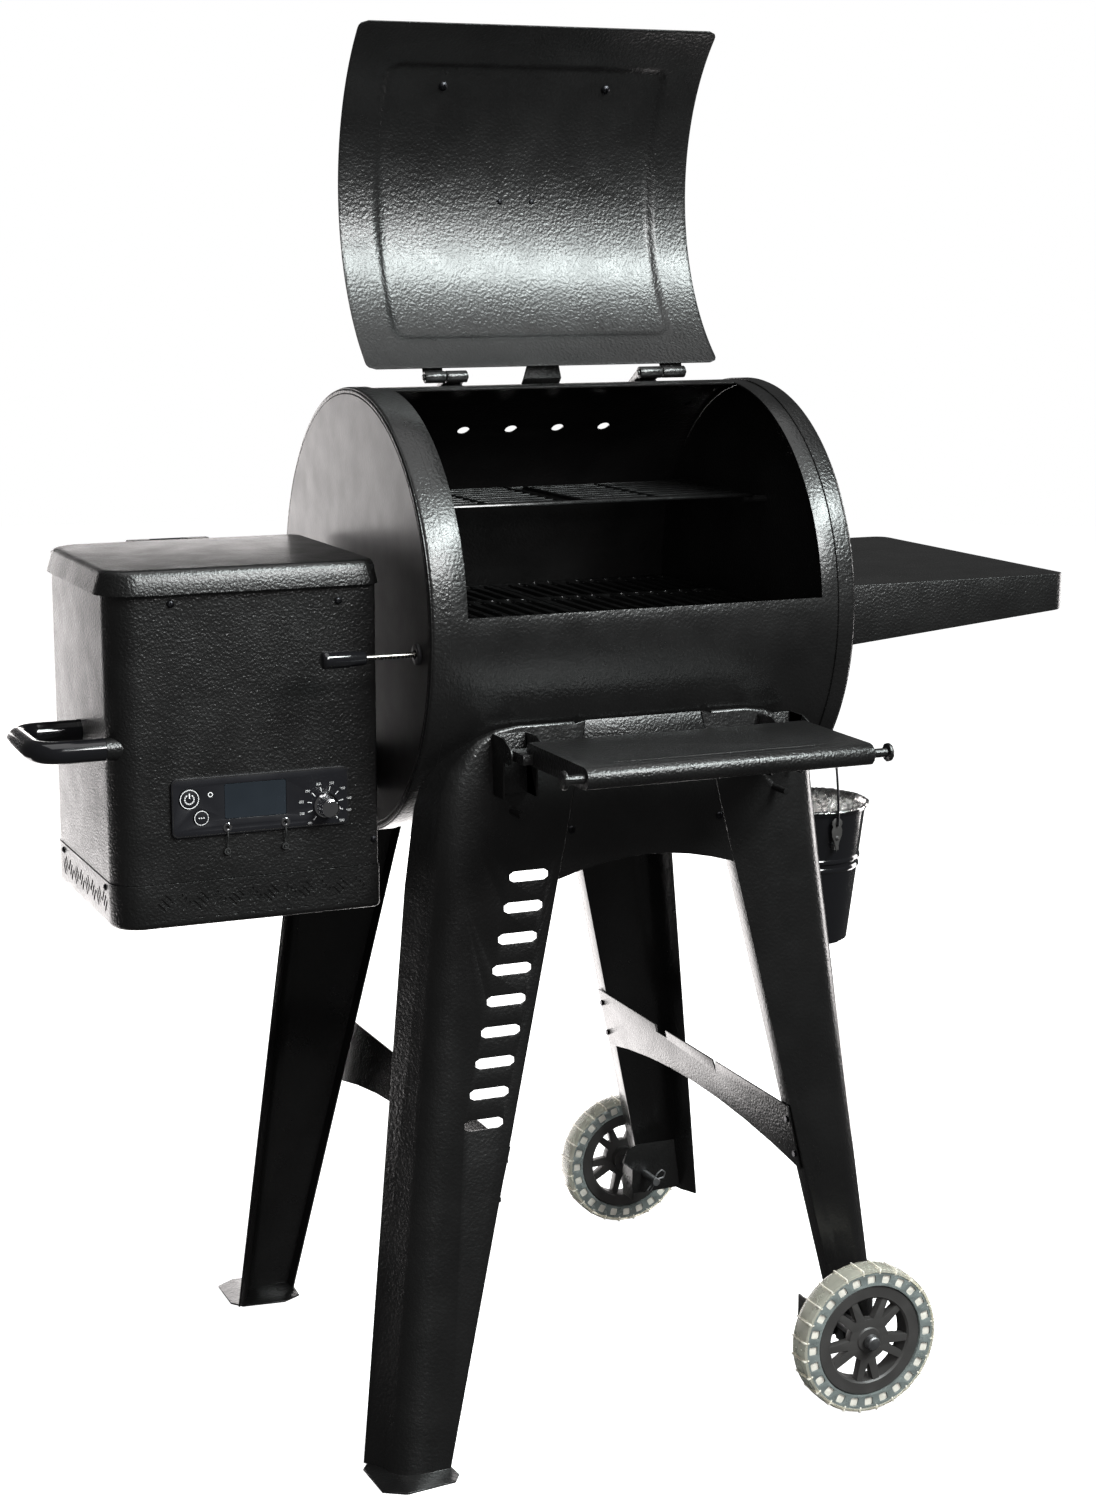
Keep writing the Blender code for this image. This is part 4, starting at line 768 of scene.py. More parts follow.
def make_tyre(name, body, centre, side):
    """Clear tread with cross bars, a tinted side ring and a frosted block in each of its pockets."""
    tread = [(0.0775, 0.0146), (0.0800, 0.0138), (0.0815, 0.0105), (0.0820, 0.0060), (0.0820, -0.0060)]
    tread += [(0.0815, -0.0105), (0.0800, -0.0138), (0.0775, -0.0146), (0.0765, -0.0130), (0.0765, 0.0130)]
    nubs = []
    for i in range(BLOCKS):
        nub = bevelled(box((0.0752, -0.0011, -0.0143), (0.0821, 0.0011, 0.0143)), 0.0009)
        nubs.append(moved(nub, Matrix.Rotation(2 * math.pi * (i + 0.5) / BLOCKS, 4, "Z")))
    nubs = moved(joined(*nubs), Matrix.Translation(centre) @ along((0, side, 0)))
    show(name + "_tread", lathe(tread, centre, (0, side, 0), 112), "clear", body, [name + "_wheel_tyre"])
    show(name + "_tread_nubs", nubs, "frost", body)

    corners = rounded(0.0650, 0.0746, -0.0049, 0.0049, (0.0020,) * 4, 3)
    pockets = [turned(corners, 360.0 / BLOCKS * i) for i in range(BLOCKS)]
    right = (-side, 0, 0)
    blocks = [prism(pocket, 0.0236, centre, right, (0, 0, 1), (), 0.0006) for pocket in pockets]
    holes = [circle((0, 0), 0.0624, 112), *pockets]
    ring = prism(circle((0, 0), 0.0772, 112), 0.0272, centre, right, (0, 0, 1), holes, 0.0007)
    show(name + "_sidewall", ring, "tint", body)
    show(name + "_pocket_blocks", joined(*blocks), "frost", body)


def make_axle(name, x, z, side):
    head = [(0.0, 0.0078), (0.0062, 0.0078), (0.0074, 0.0066), (0.0078, 0.0020), (0.0085, 0.0), (0.0, 0.0)]
    head = lathe(head, (x, side * (AXLE_END - 0.0080), z), (0, side, 0), 32)
    shaft = tube([(x, side * 0.208, z), (x, side * (AXLE_END - 0.0078), z)], 0.0050, 6)
    collar = sleeve(0.0090, 0.0051, 0.0455, (x, side * 0.251, z), (0, side, 0), 32)
    axle = bevelled(joined(head, shaft, collar), 0.0003, 1)
    show(name + "_axle_fine", axle, "zinc", replaces=[name + "_wheel_axle"])
    bends = ((-0.010, -0.012), (-0.004, -0.005), (0, 0.002), (0.004, 0.009), (0.010, 0.013),
             (0.015, 0.009), (0.013, 0.003), (0.006, 0.002), (-0.001, -0.006), (-0.005, -0.012))
    clip = [(x + across, side * 0.2145, z + up) for across, up in bends]
    show(name + "_cotter_clip", tube(clip, 0.0010, 2, True), "zinc")


def make_wheel(name, side):
    body = name + "_wheel"
    axis = place_of(name + "_wheel_spin")
    centre = Vector((axis.x, side * WHEEL_Y, axis.z))
    show(name + "_hub_moulding", wheel_hub(centre, side), "hub", body, [name + "_wheel_hub"])
    make_tyre(name, body, centre, side)
    make_axle(name, axis.x, axis.z, side)


# ---------------------------------------------------------------- shelves
def make_shelves():
    hinge_slot = box((-0.118, -0.4035, 0.7594), (0.100, -0.4015, 0.770))
    refined("front_shelf", "fine", 0.0009, 3, [hinge_slot])
    for side in ("left", "right"):
        refined(side + "_shelf_bracket", "fine", 0.0004)
    slots = []
    bolts = []
    for side in (-1, 1):
        slot = capsule((0.262, side * 0.120), 0.016, 0.005)
        slots.append(prism(slot, 0.02, (0, 0, 0.885), (1, 0, 0), (0, 1, 0)))
        bolts.append(pan_head((0.5249, side * 0.150, 0.866), (1, 0, 0), 0.0036, 0.0014))
    refined("side_shelf", "fine", 0.0012, 3, slots)
    show("side_shelf_bolts", joined(*bolts), "black_bolt")


# ---------------------------------------------------------------- hopper
LEFT, RIGHT, FRONT, BACK = -0.535, -0.258, -0.125, 0.140
SEAM, BOTTOM, TOP = 0.6135, 0.567, 0.925
HOPPER_SHEET = 0.0015
HINGE_Y, HINGE_Z, KNUCKLE = 0.148, 0.925, 0.0045
BAR_Z = 0.752


def hopper_ring(grow, steps=12):
    radii = (0.030 + grow, 0.003, 0.003, 0.030 + grow)
    return rounded(LEFT - grow, RIGHT + grow, FRONT - grow, BACK + grow, radii, steps)


def loft(levels):
    """Closed skin through (outline, z) levels with both ends filled."""
    bm = bmesh.new()
    rings = [[bm.verts.new((u, v, z)) for u, v in outline] for outline, z in levels]
    for low, high in zip(rings, rings[1:]):
        bridge(bm, low, high)
    bm.faces.new(rings[0][::-1])
    bm.faces.new(rings[-1])
    return finished(bm)


def slot_group(middle, height, turn, pitch, length, width):
    """Outlines of three slanted slots side by side."""
    sine = math.sin(math.radians(turn))
    cosine = math.cos(math.radians(turn))
    outlines = []
    for k in (-1, 0, 1):
        centre = (middle - k * pitch * sine, height + k * pitch * cosine)
        outlines.append(capsule(centre, length, width, turn, 3))
    return outlines


def herringbone():
    """Slot cutters for the base: zigzag groups on two sides, and a row of dashes under the front's."""
    front = []
    for i in range(12):
        x = -0.486 + 0.0185 * i
        front += slot_group(x, 0.5935, 45.0 if i % 2 else -45.0, 0.0056, 0.0118, 0.0028)
        front.append(capsule((x, 0.5762), 0.0060, 0.0014, 0.0, 3))
    left = []
    for i in range(8):
        left += slot_group(-0.080 + 0.0240 * i, 0.5915, 55.0 if i % 2 else -55.0, 0.0070, 0.0160, 0.0036)
    cutters = [prism(ring, 0.010, (0, FRONT - 0.0048, 0), (1, 0, 0), (0, 0, 1)) for ring in front]
    cutters += [prism(ring, 0.012, (LEFT - 0.001, 0, 0), (0, 1, 0), (0, 0, 1)) for ring in left]
    return cutters


def hopper_walls():
    panel_hole = box((-0.470, -0.13, 0.664), (-0.299, -0.11, 0.716))
    inlet_hole = box((-0.500, 0.13, 0.700), (-0.470, 0.15, 0.722))
    tube_hole = rod(0.0266, 0.03, (-0.275, 0, 0.690), (1, 0, 0), 48)
    outside = hopper_ring(0.0)
    inside = hopper_ring(-HOPPER_SHEET)
    hollow = loft([(inside, SEAM - 0.01), (inside, TOP + 0.01)])
    walls = cut(loft([(outside, SEAM), (outside, TOP)]), hollow)
    return bevelled(cut(walls, panel_hole, inlet_hole, tube_hole), 0.0003, 1)


def hopper_tray():
    """Base with a rounded lower edge and the slots in its front and left side."""
    grow = 0.001
    radius = 0.006
    levels = [(hopper_ring(grow - radius), BOTTOM)]
    for i in range(1, 5):
        angle = math.radians(22.5 * i)
        inset = radius * (1 - math.sin(angle))
        levels.append((hopper_ring(grow - inset), BOTTOM + radius * (1 - math.cos(angle))))
    levels.append((hopper_ring(grow), SEAM - 0.0003))
    floor = hopper_ring(grow - radius - HOPPER_SHEET)
    inside = hopper_ring(-0.0010)
    hollow = loft([(floor, BOTTOM + HOPPER_SHEET), (inside, BOTTOM + 0.008), (inside, 0.63)])
    return bevelled(cut(cut(loft(levels), hollow), *herringbone()), 0.0002, 1, 50.0)


def hopper_screws():
    screws = []
    for x, z, radius in ((-0.472, 0.896, 0.0040), (-0.298, 0.890, 0.0040), (-0.263, 0.640, 0.0036)):
        screws.append(pan_head((x, FRONT - 0.0001, z), (0, -1, 0), radius))
    for y in (-0.085, 0.095):
        screws.append(pan_head((LEFT - 0.0011, y, 0.6065), (-1, 0, 0), 0.0036))
    return screws


def make_hopper():
    show("hopper_walls", hopper_walls(), "fine", replaces=["hopper_shell"])
    hinge = [
        sleeve(KNUCKLE, 0.0001, 0.040, (-0.42, HINGE_Y, HINGE_Z), (1, 0, 0), 24),
        tube([(-0.445, HINGE_Y, HINGE_Z), (-0.355, HINGE_Y, HINGE_Z)], 0.002, 3),
        box((-0.42, BACK - 0.0005, 0.905), (-0.38, BACK + 0.006, 0.9235)),
    ]
    show("hopper_hinge", bevelled(joined(*hinge), 0.0003, 1), "fine")
    show("hopper_tray", hopper_tray(), "fine", replaces=["hopper_base"])
    make_hopper_lid()
    refined("hopper_bin", "steel", 0.0004)
    show("hopper_screws", joined(*hopper_screws()), "black_bolt")


def make_hopper_lid():
    """Pressed cover: slightly flared skirt under a rounded top edge."""
    top = local_box("hopper_lid")[1].z
    base = top - 0.024
    back = BACK + 0.002

    def ring(inset):
        radii = (0.038 - inset, 0.0155, 0.0155, 0.045 - inset)
        left = LEFT - 0.008 + inset
        right = RIGHT + 0.0045 - 0.4 * inset
        return rounded(left, right, FRONT - 0.008 + inset, back - inset, radii, 14)

    levels = [(ring(0.0), base), (ring(0.0056), top - 0.0065), (ring(0.0066), top - 0.0038)]
    levels += [(ring(0.0084), top - 0.0016), (ring(0.0110), top - 0.0004), (ring(0.0150), top)]
    hollow = loft([(ring(0.0014), base - 0.0005), (ring(0.0068), top - 0.0065), (ring(0.0110), top - 0.0018)])
    lid = bevelled(cut(loft(levels), hollow), 0.0004, 2, 60.0)
    show("hopper_lid_skin", lid, "fine", "hopper_cover", ["hopper_lid"], 50.0)
    parts = []
    for low, high in ((-0.4445, -0.4203), (-0.3797, -0.3555)):
        parts.append(sleeve(KNUCKLE, 0.0024, high - low, (low, HINGE_Y, HINGE_Z), (1, 0, 0), 24))
        parts.append(box((low, back - 0.006, 0.9283), (high, HINGE_Y, 0.9296)))
    show("hopper_lid_hinge", bevelled(joined(*parts), 0.0003, 1), "fine", "hopper_cover")


def make_hopper_handle():
    bar_x, bend, front, rear, radius = -0.605, 0.024, -0.108, 0.004, 0.0117
    path = [(LEFT - 0.0003, rear), (LEFT - 0.004, rear)]
    path += arc((bar_x + bend, rear - bend), bend, 90.0, 180.0, 12)
    path += arc((bar_x + bend, front + bend), bend, 180.0, 270.0, 12)
    path += [(-0.527, front), (-0.510, front)]
    bar = tube([(x, y, BAR_Z) for x, y in path], radius, 8)
    ferrule = [(0.0120, 0.030), (0.0120, 0.0012), (0.0112, 0.0), (0.0, 0.0), (0.0, 0.030)]
    ferrule = lathe(ferrule, (-0.539, front, BAR_Z), (1, 0, 0), 40)
    washer = rod(0.0120, 0.0040, (LEFT - 0.0045, rear, BAR_Z), (1, 0, 0), 40)
    wall = loft([(hopper_ring(0.0003), BAR_Z - 0.05), (hopper_ring(0.0003), BAR_Z + 0.05)])
    show("hopper_handle_bar", cut(bar, wall), "gloss", replaces=["hopper_handle"])
    show("hopper_handle_ferrules", cut(ferrule, wall), "hammered")
    show("hopper_handle_washer", cut(washer, wall), "gloss")


# ---------------------------------------------------------------- control panel
PANEL_X, PANEL_Z, PANEL_FACE = -0.384, 0.690, -0.1285
SOCKETS_X, SOCKET_Z = (-0.420, -0.359), 0.667
DIAL = ("150", "200", "225", "250", "300", "350", "400", "425", "450", "500")
PRINT = 0.00016
DIGITS = {
    "0": "abcdef", "1": "bc", "2": "abged", "3": "abgcd", "4": "fgbc", "5": "afgcd",
}
SEGMENTS = {
    "a": ((0, 2), (1, 2)), "b": ((1, 2), (1, 1)), "c": ((1, 1), (1, 0)), "d": ((0, 0), (1, 0)),
    "e": ((0, 1), (0, 0)), "f": ((0, 2), (0, 1)), "g": ((0, 1), (1, 1)),
}


def facing(outline, thickness, y, holes=(), bevel=0.0):
    return prism(outline, thickness, (0, y, 0), (1, 0, 0), (0, 0, 1), holes, bevel)


def stroke(start, end, width, y=PANEL_FACE):
    """Printed line."""
    middle = ((start[0] + end[0]) / 2, (start[1] + end[1]) / 2)
    length = math.hypot(end[0] - start[0], end[1] - start[1]) + width
    turn = math.degrees(math.atan2(end[1] - start[1], end[0] - start[0]))
    return facing(capsule(middle, length, width, turn, 2), PRINT, y)


def hoop(centre, outer, inner, y=PANEL_FACE, steps=40):
    """Printed ring."""
    return facing(circle(centre, outer, steps), PRINT, y, [circle(centre, inner, steps)])


def polar(centre, radius, angle, stretch=1.0):
    return (centre[0] + radius * math.cos(angle), centre[1] + radius * stretch * math.sin(angle))


def number(text, centre, size):
    strokes = []
    for i, digit in enumerate(text):
        u = centre[0] + (i - len(text) / 2) * size * 0.95 + size * 0.1
        for segment in DIGITS[digit]:
            (u0, v0), (u1, v1) = SEGMENTS[segment]
            start = (u + u0 * size * 0.6, centre[1] + (v0 - 1) * size * 0.55)
            end = (u + u1 * size * 0.6, centre[1] + (v1 - 1) * size * 0.55)
            strokes.append(stroke(start, end, size * 0.16))
    return strokes


def make_plate(knob, power, prime):
    """Panel film with its holes, and the thin line printed round it."""
    def outline(inset, radius):
        return rounded(PANEL_X - 0.093 + inset, PANEL_X + 0.093 - inset,
                       PANEL_Z - 0.030 + inset, PANEL_Z + 0.030 - inset, (radius,) * 4, 8)

    holes = [
        circle(knob, 0.0040, 24),
        circle(power, 0.0110, 48),
        circle(prime, 0.0085, 48),
        rounded(-0.4225, -0.3575, 0.6753, 0.7117, (0.0018,) * 4, 4),
    ]
    holes += [circle((x, SOCKET_Z), 0.0019, 20) for x in SOCKETS_X]
    plate = facing(outline(0.0, 0.006), 0.003, PANEL_FACE + 0.0015, holes, 0.0003)
    show("panel_plate", plate, "panel", replaces=["control_panel"])
    line = facing(outline(0.0008, 0.0055), PRINT, PANEL_FACE, [outline(0.0013, 0.0052)])
    show("panel_outline", line, "rod")


def make_sockets():
    """Probe sockets, each with a rubber cap that hangs below it on a strap."""
    toward = (0, -1, 0)
    rim = [(0.0045, 0.0010), (0.0042, 0.0012), (0.0026, 0.0012), (0.0019, 0.0006), (0.0019, -0.001)]
    rim += [(0.0045, -0.001)]
    ring = [(0.0034, 0.0022), (0.0036, 0.0), (0.0022, 0.0), (0.0022, 0.0022)]
    plug = [(0.0, 0.0016), (0.0012, 0.0034), (0.0016, 0.0016), (0.0024, 0.0012), (0.0024, 0.0), (0.0, 0.0)]
    bends = ((PANEL_FACE - 0.0006, 0.6622), (PANEL_FACE - 0.0022, 0.6575), (FRONT - 0.0026, 0.650),
             (FRONT - 0.0022, 0.6450))
    sockets = []
    caps = []
    for x in SOCKETS_X:
        cap = (x, FRONT - 0.0008, 0.6420)
        sockets.append(lathe(rim, (x, PANEL_FACE, SOCKET_Z), toward, 32))
        caps.append(tube([(x, y, z) for y, z in bends], 0.0008, 2, True))
        caps.append(lathe(ring, cap, toward, 28))
        caps.append(lathe(plug, cap, toward, 24))
    show("probe_sockets", joined(*sockets), "chrome")
    show("probe_socket_caps", joined(*caps), "rubber")


def make_marks(knob, power, prime):
    """Dial scale, indicator ring and the two buttons' symbols."""
    lamp = (-0.4370, 0.7020)
    marks = []
    for i, text in enumerate(DIAL):
        angle = math.radians(228.0 - 276.0 * i / (len(DIAL) - 1))
        marks.append(stroke(polar(knob, 0.0150, angle), polar(knob, 0.0195, angle), 0.0007))
        marks += number(text, polar(knob, 0.0262, angle, 0.0232 / 0.0262), 0.0018)
    marks.append(hoop(lamp, 0.0026, 0.0018, PANEL_FACE, 24))
    show("panel_marks", joined(*marks), "legend")

    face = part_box("power_button")[0].y - ORIGIN.y
    width, steps = 0.0012, 12
    symbol = [hoop(power, 0.0098, 0.0091, face)]
    for i in range(steps):
        start = math.radians(125.0 + 290.0 * i / steps)
        end = math.radians(125.0 + 290.0 * (i + 1) / steps)
        symbol.append(stroke(polar(power, 0.0048, start), polar(power, 0.0048, end), width, face))
    symbol.append(stroke((power[0], power[1] + 0.0012), (power[0], power[1] + 0.0058), width, face))
    show("power_symbol", joined(*symbol), "legend", "power_key")
    symbol = [hoop(prime, 0.0074, 0.0068, face)]
    for step in (-0.0024, 0.0, 0.0024):
        symbol.append(facing(circle((prime[0] + step, prime[1]), 0.0008, 14), PRINT, face))
    show("prime_symbol", joined(*symbol), "legend", "prime_key")


def make_knob(place):
    """Turned knob with eighteen flutes and a pointer ridge."""
    dial = [(0.0, 0.0093), (0.0060, 0.0096), (0.0080, 0.0092), (0.0095, 0.0080), (0.0100, 0.0060)]
    dial += [(0.0104, -0.0060), (0.0112, -0.0072), (0.0125, -0.0080), (0.0125, -0.0098), (0.0030, -0.0098)]
    dial += [(0.0030, -0.0190), (0.0, -0.0190)]
    flutes = []
    for i in range(18):
        angle = 2 * math.pi * i / 18
        start = place + Vector((0.0108 * math.cos(angle), 0.0045, 0.0108 * math.sin(angle)))
        flutes.append(rod(0.0011, 0.02, start, (0, -1, 0), 10))
    turning = bevelled(cut(lathe(dial, place, (0, -1, 0), 72), *flutes), 0.0003, 2, 50.0)
    ridge = box(place + Vector((-0.0009, -0.0108, 0.0010)), place + Vector((0.0009, -0.0080, 0.0078)))
    knob = joined(turning, bevelled(ridge, 0.0004))
    show("dial_knob", knob, "chrome", "knob", ["temperature_knob"])


def make_panel():
    knob = place_of("temperature_knob_turn")
    power = place_of("power_button_press")
    prime = place_of("prime_button_press")
    flat = [(place.x, place.z) for place in (knob, power, prime)]
    make_plate(*flat)
    refined("display_window", "display", 0.0002, 1)
    refined("controller_board", "circuit", 0.0003, 1)
    make_sockets()
    make_marks(*flat)
    for name, place, radius in (("power", power, 0.0105), ("prime", prime, 0.0080)):
        profile = [(0.0, 0.0017), (radius - 0.0010, 0.0017), (radius - 0.0003, 0.0014), (radius, 0.0008)]
        profile += [(radius, -0.0020), (0.0, -0.0020)]
        cap = lathe(profile, place, (0, -1, 0), 48)
        show(name + "_cap", cap, "panel", name + "_key", [name + "_button"])
    make_knob(knob)
    backing = box((-0.4230, PANEL_FACE + 0.0031, 0.664), (-0.3560, PANEL_FACE + 0.0034, 0.670))
    show("panel_socket_back", backing, "plastic")


# ---------------------------------------------------------------- feed, fire and broiler lever
def make_inner_parts():
    inner = {
        "auger_tube": "steel", "auger_screw": "steel", "auger_motor": "zinc", "fan_housing": "plastic",
        "fan_impeller": "plastic", "fire_pot": "steel", "igniter_rod": "steel", "grease_plate": "inside",
        "broiler_slider": "inside", "power_inlet": "plastic",
    }
    for node, look in inner.items():
        refined(node, look, 0.0003, 1)


def make_lever():
    grip_x, y, z = -0.2958, -0.199, 0.842
    path = [(grip_x + 0.0003, y, z), (grip_x + 0.0008, y, z), (-0.170, y, z), (-0.155, y, z)]
    path += [(-0.148, -0.200, 0.836), (-0.140, -0.201, 0.815), (-0.134, -0.193, 0.802)]
    path += [(-0.120, -0.165, 0.786), (-0.100, -0.110, 0.774), (-0.060, -0.060, 0.7683)]
    path += [(-0.0405, -0.0405, 0.7683)]
    show("broiler_rod_fine", tube(path, 0.0028, 6), "rod", "broiler_lever", ["broiler_rod"])
    profile = [(0.0, 0.0456), (0.0060, 0.0456), (0.0080, 0.0446), (0.0090, 0.0425), (0.0090, 0.0395)]
    profile += [(0.0086, 0.0385), (0.0088, 0.0180), (0.0080, 0.0165), (0.0070, 0.0015), (0.0060, 0.0)]
    profile += [(0.0, 0.0)]
    grip = lathe(profile, (grip_x, y, z), (-1, 0, 0), 40)
    show("lever_handle", grip, "gloss", "broiler_lever", ["lever_grip"], 40.0)


# ---------------------------------------------------------------- grates
def make_grates():
    top, deep, bars, bar_half = 0.852, 0.010, 12, 0.0035
    for side, name in ((-1, "left"), (1, "right")):
        left, right = sorted((side * 0.0010, side * 0.2300))
        pitch = (right - left - 0.010) / bars
        holes = []
        for i in range(bars):
            low = left + 0.005 + pitch * i + bar_half
            high = left + 0.005 + pitch * (i + 1) - bar_half
            for j in range(3):
                front = -0.174 + 0.1250 * j
                holes.append(rounded(low, high, front, front + 0.1170, (0.004,) * 4, 2))
        outline = rounded(left, right, -0.182, 0.205, (0.008,) * 4, 4)
        plate = prism(outline, deep, (0, 0, top - deep / 2), (1, 0, 0), (0, 1, 0), holes, 0.0028)
        show(name + "_grate_casting", plate, "iron", "grate_" + name, [name + "_grate"])


def make_rack():
    front, back, z = -0.049, 0.127, 0.9705
    outline = rounded(-0.2170, 0.2170, front, back, (0.012,) * 4, 5)
    wires = [tube([(x, y, z) for x, y in [*outline, outline[0]]], 0.0024, 3)]
    for ends in ((-0.205, -0.012), (0.012, 0.205)):
        for i in range(8):
            y = -0.036 + 0.0215 * i
            wires.append(tube([(x, y, z) for x in ends], 0.0017, 3))
    for x in (-0.205, -0.1, -0.012, 0.012, 0.1, 0.205):
        wires.append(tube([(x, front, z), (x, back, z)], 0.0022, 3))
    show("rack_wires", joined(*wires), "iron", "rack", ["upper_rack"])


# ---------------------------------------------------------------- bucket
BUCKET_X, RIM_Z, RIM_RADIUS, BUCKET_LOW = 0.315, 0.605, 0.068, 0.445
EAR_Z = 0.592


def pail_radius(z):
    return RIM_RADIUS - 0.019 * (RIM_Z - z) / (RIM_Z - BUCKET_LOW)


def make_pail():
    outside = [(RIM_RADIUS + 0.0004, RIM_Z), (RIM_RADIUS + 0.0015, RIM_Z - 0.0006)]
    outside += [(RIM_RADIUS + 0.0015, RIM_Z - 0.0030), (RIM_RADIUS - 0.0002, RIM_Z - 0.0036)]
    outside += [(pail_radius(0.595), 0.595)]
    for rib in (0.5450, 0.5350):
        crest = pail_radius(rib) + 0.0016
        outside += [(pail_radius(rib + 0.0032), rib + 0.0032), (crest, rib + 0.0010)]
        outside += [(crest, rib - 0.0010), (pail_radius(rib - 0.0032), rib - 0.0032)]
    foot = pail_radius(BUCKET_LOW)
    outside += [(foot, BUCKET_LOW + 0.0015), (foot - 0.0015, BUCKET_LOW), (0.0, BUCKET_LOW + 0.001)]
    outside += [(0.0, BUCKET_LOW + 0.002), (foot - 0.002, BUCKET_LOW + 0.002)]
    outside += [(RIM_RADIUS - 0.001, RIM_Z - 0.0005)]
    pail = lathe(outside, (BUCKET_X, 0, 0), (0, 0, 1), 96)
    show("bucket_pail", pail, "gloss", "bucket", ["grease_bucket"])


def make_ears():
    half = [(0.0035, 0.5730), (0.0060, 0.5790), (0.0068, 0.5860), (0.0050, 0.5900), (0.0066, 0.5930)]
    half += [(0.0062, 0.5965), (0.0030, 0.600)]
    outline = [(-u, v) for u, v in reversed(half)] + [(0.0, 0.5605)] + half
    ears = []
    for side in (-1, 1):
        hole = circle((0, EAR_Z), 0.0021, 16)
        place = (BUCKET_X, side * 0.0719, 0)
        ears.append(prism(outline, 0.0012, place, (1, 0, 0), (0, 0, 1), [hole], 0.0002))
        near, far = sorted((side * 0.0715, side * 0.0630))
        ears.append(box((BUCKET_X - 0.003, near, 0.563), (BUCKET_X + 0.003, far, 0.567)))
        ears.append(pan_head((BUCKET_X, side * 0.0725, 0.577), (0, side, 0), 0.0028))
    show("bucket_ears", joined(*ears), "hub", "bucket")


def make_foil():
    """Crumpled foil liner, folded over the rim."""
    fold_rows, around = 4, 180
    profile = [(0.0722, RIM_Z + 0.0012), (0.0712, RIM_Z + 0.0028), (0.0690, RIM_Z + 0.0030)]
    profile += [(0.0668, RIM_Z + 0.0018)]
    levels = (0.600, 0.590, 0.575, 0.555, 0.530, 0.500, 0.475, 0.462)
    profile += [(pail_radius(z) - 0.0022, z) for z in levels]
    profile += [(0.040, 0.4608), (0.020, 0.4608), (0.004, 0.4610)]
    bm = bmesh.new()
    rings = []
    for k, (radius, z) in enumerate(profile):
        ring = []
        for i in range(around):
            u, v = polar((0.0, 0.0), 1.0, 2 * math.pi * i / around)
            fold = noise.noise(Vector((u * 9.0, v * 9.0, z * 60.0)))
            fine = noise.noise(Vector((u * 26.0, v * 26.0, z * 190.0)))
            crease = 0.0006 * fold + 0.0004 * fine - 0.0004
            reach = radius + (0.0012 * fold if k < fold_rows else crease)
            level = z + (0.0010 * fine if k < fold_rows - 1 else 0.0)
            ring.append(bm.verts.new((BUCKET_X + reach * u, reach * v, level)))
        rings.append(ring)
    for upper, lower in zip(rings, rings[1:]):
        bridge(bm, upper, lower)
    bm.faces.new(rings[-1])
    foil = worked(finished(bm), ("SOLIDIFY", {"thickness": 0.0003, "offset": 0.0}))
    show("foil_lining", foil, "foil", "bucket", ["foil_liner"], 80.0)


def make_bail():
    """Half hoop of wire whose ends turn in through the ears."""
    wide, top, turn_in = 0.0747, 0.7505, ((0.0740, EAR_Z), (0.0695, EAR_Z))
    hoop_points = arc((0.0, 0.0), 1.0, 5.0, 175.0, 34)
    wire = [(-y, z) for y, z in reversed(turn_in)]
    wire += [(-wide * u, EAR_Z + (top - EAR_Z) * v) for u, v in hoop_points]
    wire += turn_in
    bail = tube([(BUCKET_X, y, z) for y, z in wire], 0.0014, 4)
    show("bail_wire", bail, "black_bolt", "bail", ["bucket_bail"])


def make_bucket():
    make_pail()
    make_ears()
    make_foil()
    make_bail()
    refined("grease_spout", "fine", 0.0005)


# ---------------------------------------------------------------- stage
COOL = (0.92, 1.0, 0.99)
WARM = (1.0, 0.96, 0.95)
WHITE = (1.0, 1.0, 1.0)
LID_MIDDLE = Vector((0, 0.08, 1.29))
LIGHTS = {
    # place, target, size, watts, colour, seen in gloss
    "key": (LID_MIDDLE + Vector((0.39, -0.735, 0.554)) * 3.3, LID_MIDDLE, (2.1, 0.75), 185.0, COOL, True),
    "backdrop": ((0.08, 2.5, 0.61), (0.08, 1.5, 0.61), (2.4, 1.22), 36.0, WARM, True),
    "sweep": ((-0.12, 1.45, 0.005), (-0.12, 1.45, 1.005), (2.8, 2.1), 82.0, WARM, True),
    "strip": ((0.46, -2.68, 2.26), (-0.3, -0.1, 0.9), (0.9, 0.42), 45.0, WHITE, True),
    "side": ((2.7, 0.5, 0.8), (0.2, 0, 0.7), (0.9, 2.0), 40.0, WARM, True),
    "soft_fill": ((-1.2, -3.2, 1.6), (0, 0, 0.5), (2.0, 2.0), 50.0, WHITE, False),
    "floor_wash": ((-0.0455, -0.646, 4.5), (-0.0455, 0.154, 0.0), (4.0, 4.0), 60.0, WHITE, True),
}
SURROUNDINGS, BACKGROUND = 0.056, 1.0


def area_light(name, place, target, size, power, colour, glossy):
    data = bpy.data.lights.new(name, "AREA")
    data.shape = "RECTANGLE"
    data.size, data.size_y = size
    data.energy = power
    data.color = colour
    light = bpy.data.objects.new(name, data)
    light.location = ORIGIN + Vector(place)
    light.visible_camera = False
    light.visible_glossy = glossy
    light.rotation_euler = (Vector(target) - Vector(place)).to_track_quat("-Z", "Y").to_euler()
    scene.collection.objects.link(light)


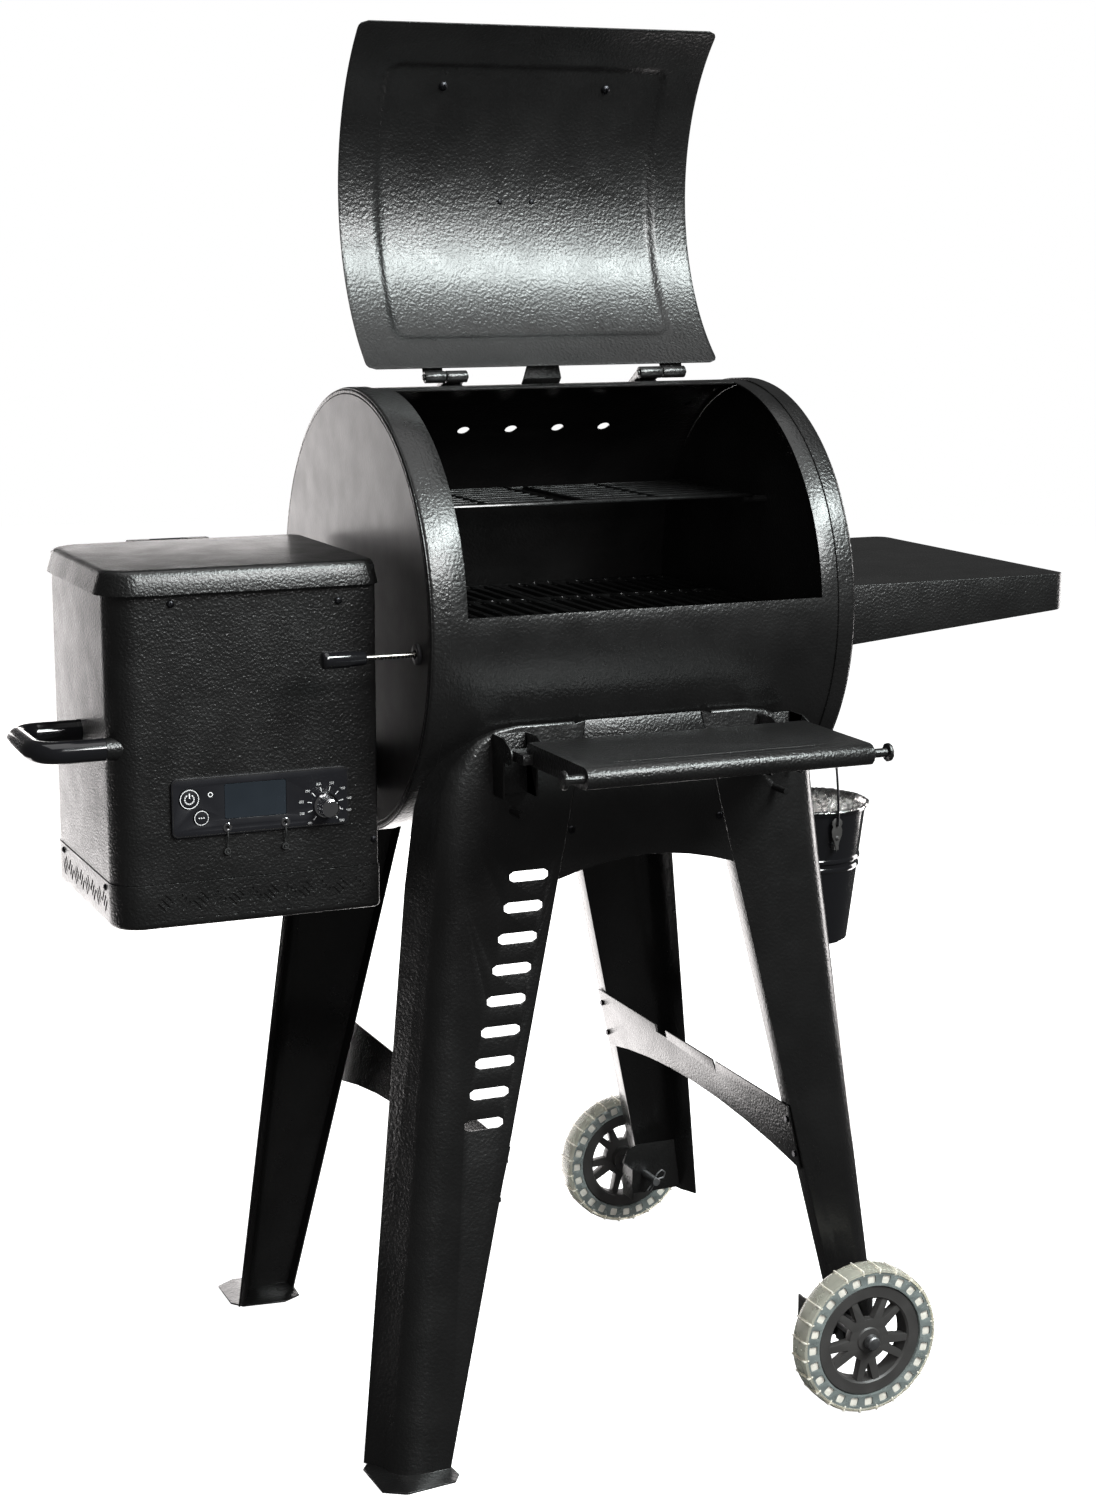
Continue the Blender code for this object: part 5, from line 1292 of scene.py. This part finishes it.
def make_floor():
    """White floor that only the camera sees; the sweep light stands in for it in reflections."""
    bpy.ops.mesh.primitive_circle_add(vertices=64, radius=9.0, fill_type="NGON", location=(0, 0, -0.0005))
    floor = bpy.context.object
    floor.name = "floor"
    look = Finish("pale_floor", (0.90, 0.90, 0.90), 0.7, Emission_Color=(1, 1, 1, 1), Emission_Strength=0.92)
    look.bump((look.noise(40.0, 2.0), 0.02, 0.001)).vary(look.noise(1.5, 2.0), 0.99, 1.01)
    floor.data.materials.append(look.material)
    floor.visible_glossy = False
    floor.visible_diffuse = False


def make_world():
    """White to the camera and through clear parts, dim to everything else."""
    world = bpy.data.worlds.new("studio")
    scene.world = world
    world.use_nodes = True
    tree = world.node_tree
    tree.nodes.clear()
    ray = tree.nodes.new("ShaderNodeLightPath")
    mix = tree.nodes.new("ShaderNodeMixShader")
    seen = tree.nodes.new("ShaderNodeMath")
    seen.operation = "MAXIMUM"
    tree.links.new(ray.outputs["Is Camera Ray"], seen.inputs[0])
    tree.links.new(ray.outputs["Is Transmission Ray"], seen.inputs[1])
    tree.links.new(seen.outputs["Value"], mix.inputs["Fac"])
    for slot, strength in ((1, SURROUNDINGS), (2, BACKGROUND)):
        shader = tree.nodes.new("ShaderNodeBackground")
        shader.inputs["Color"].default_value = (1, 1, 1, 1)
        shader.inputs["Strength"].default_value = strength
        tree.links.new(shader.outputs["Background"], mix.inputs[slot])
    output = tree.nodes.new("ShaderNodeOutputWorld")
    tree.links.new(mix.outputs["Shader"], output.inputs["Surface"])


def make_camera():
    camera = bpy.data.objects.new("camera", bpy.data.cameras.new("camera"))
    camera.data.lens = 63.74
    camera.data.sensor_width = 36.0
    camera.location = ORIGIN + Vector((-1.1601, -2.6525, 1.2551))
    camera.rotation_euler = (math.radians(78.97), 0.0, math.radians(-23.39))
    scene.collection.objects.link(camera)
    scene.camera = camera


def make_stage():
    make_floor()
    make_world()
    scene.view_settings.view_transform = "Standard"
    for name, settings in LIGHTS.items():
        area_light(name, *settings)
    make_camera()


make_barrel()
make_caps()
make_lid()
make_legs()
make_wheel("front", -1)
make_wheel("rear", 1)
make_shelves()
make_hopper()
make_hopper_handle()
make_panel()
make_inner_parts()
make_lever()
make_grates()
make_rack()
make_bucket()
make_stage()
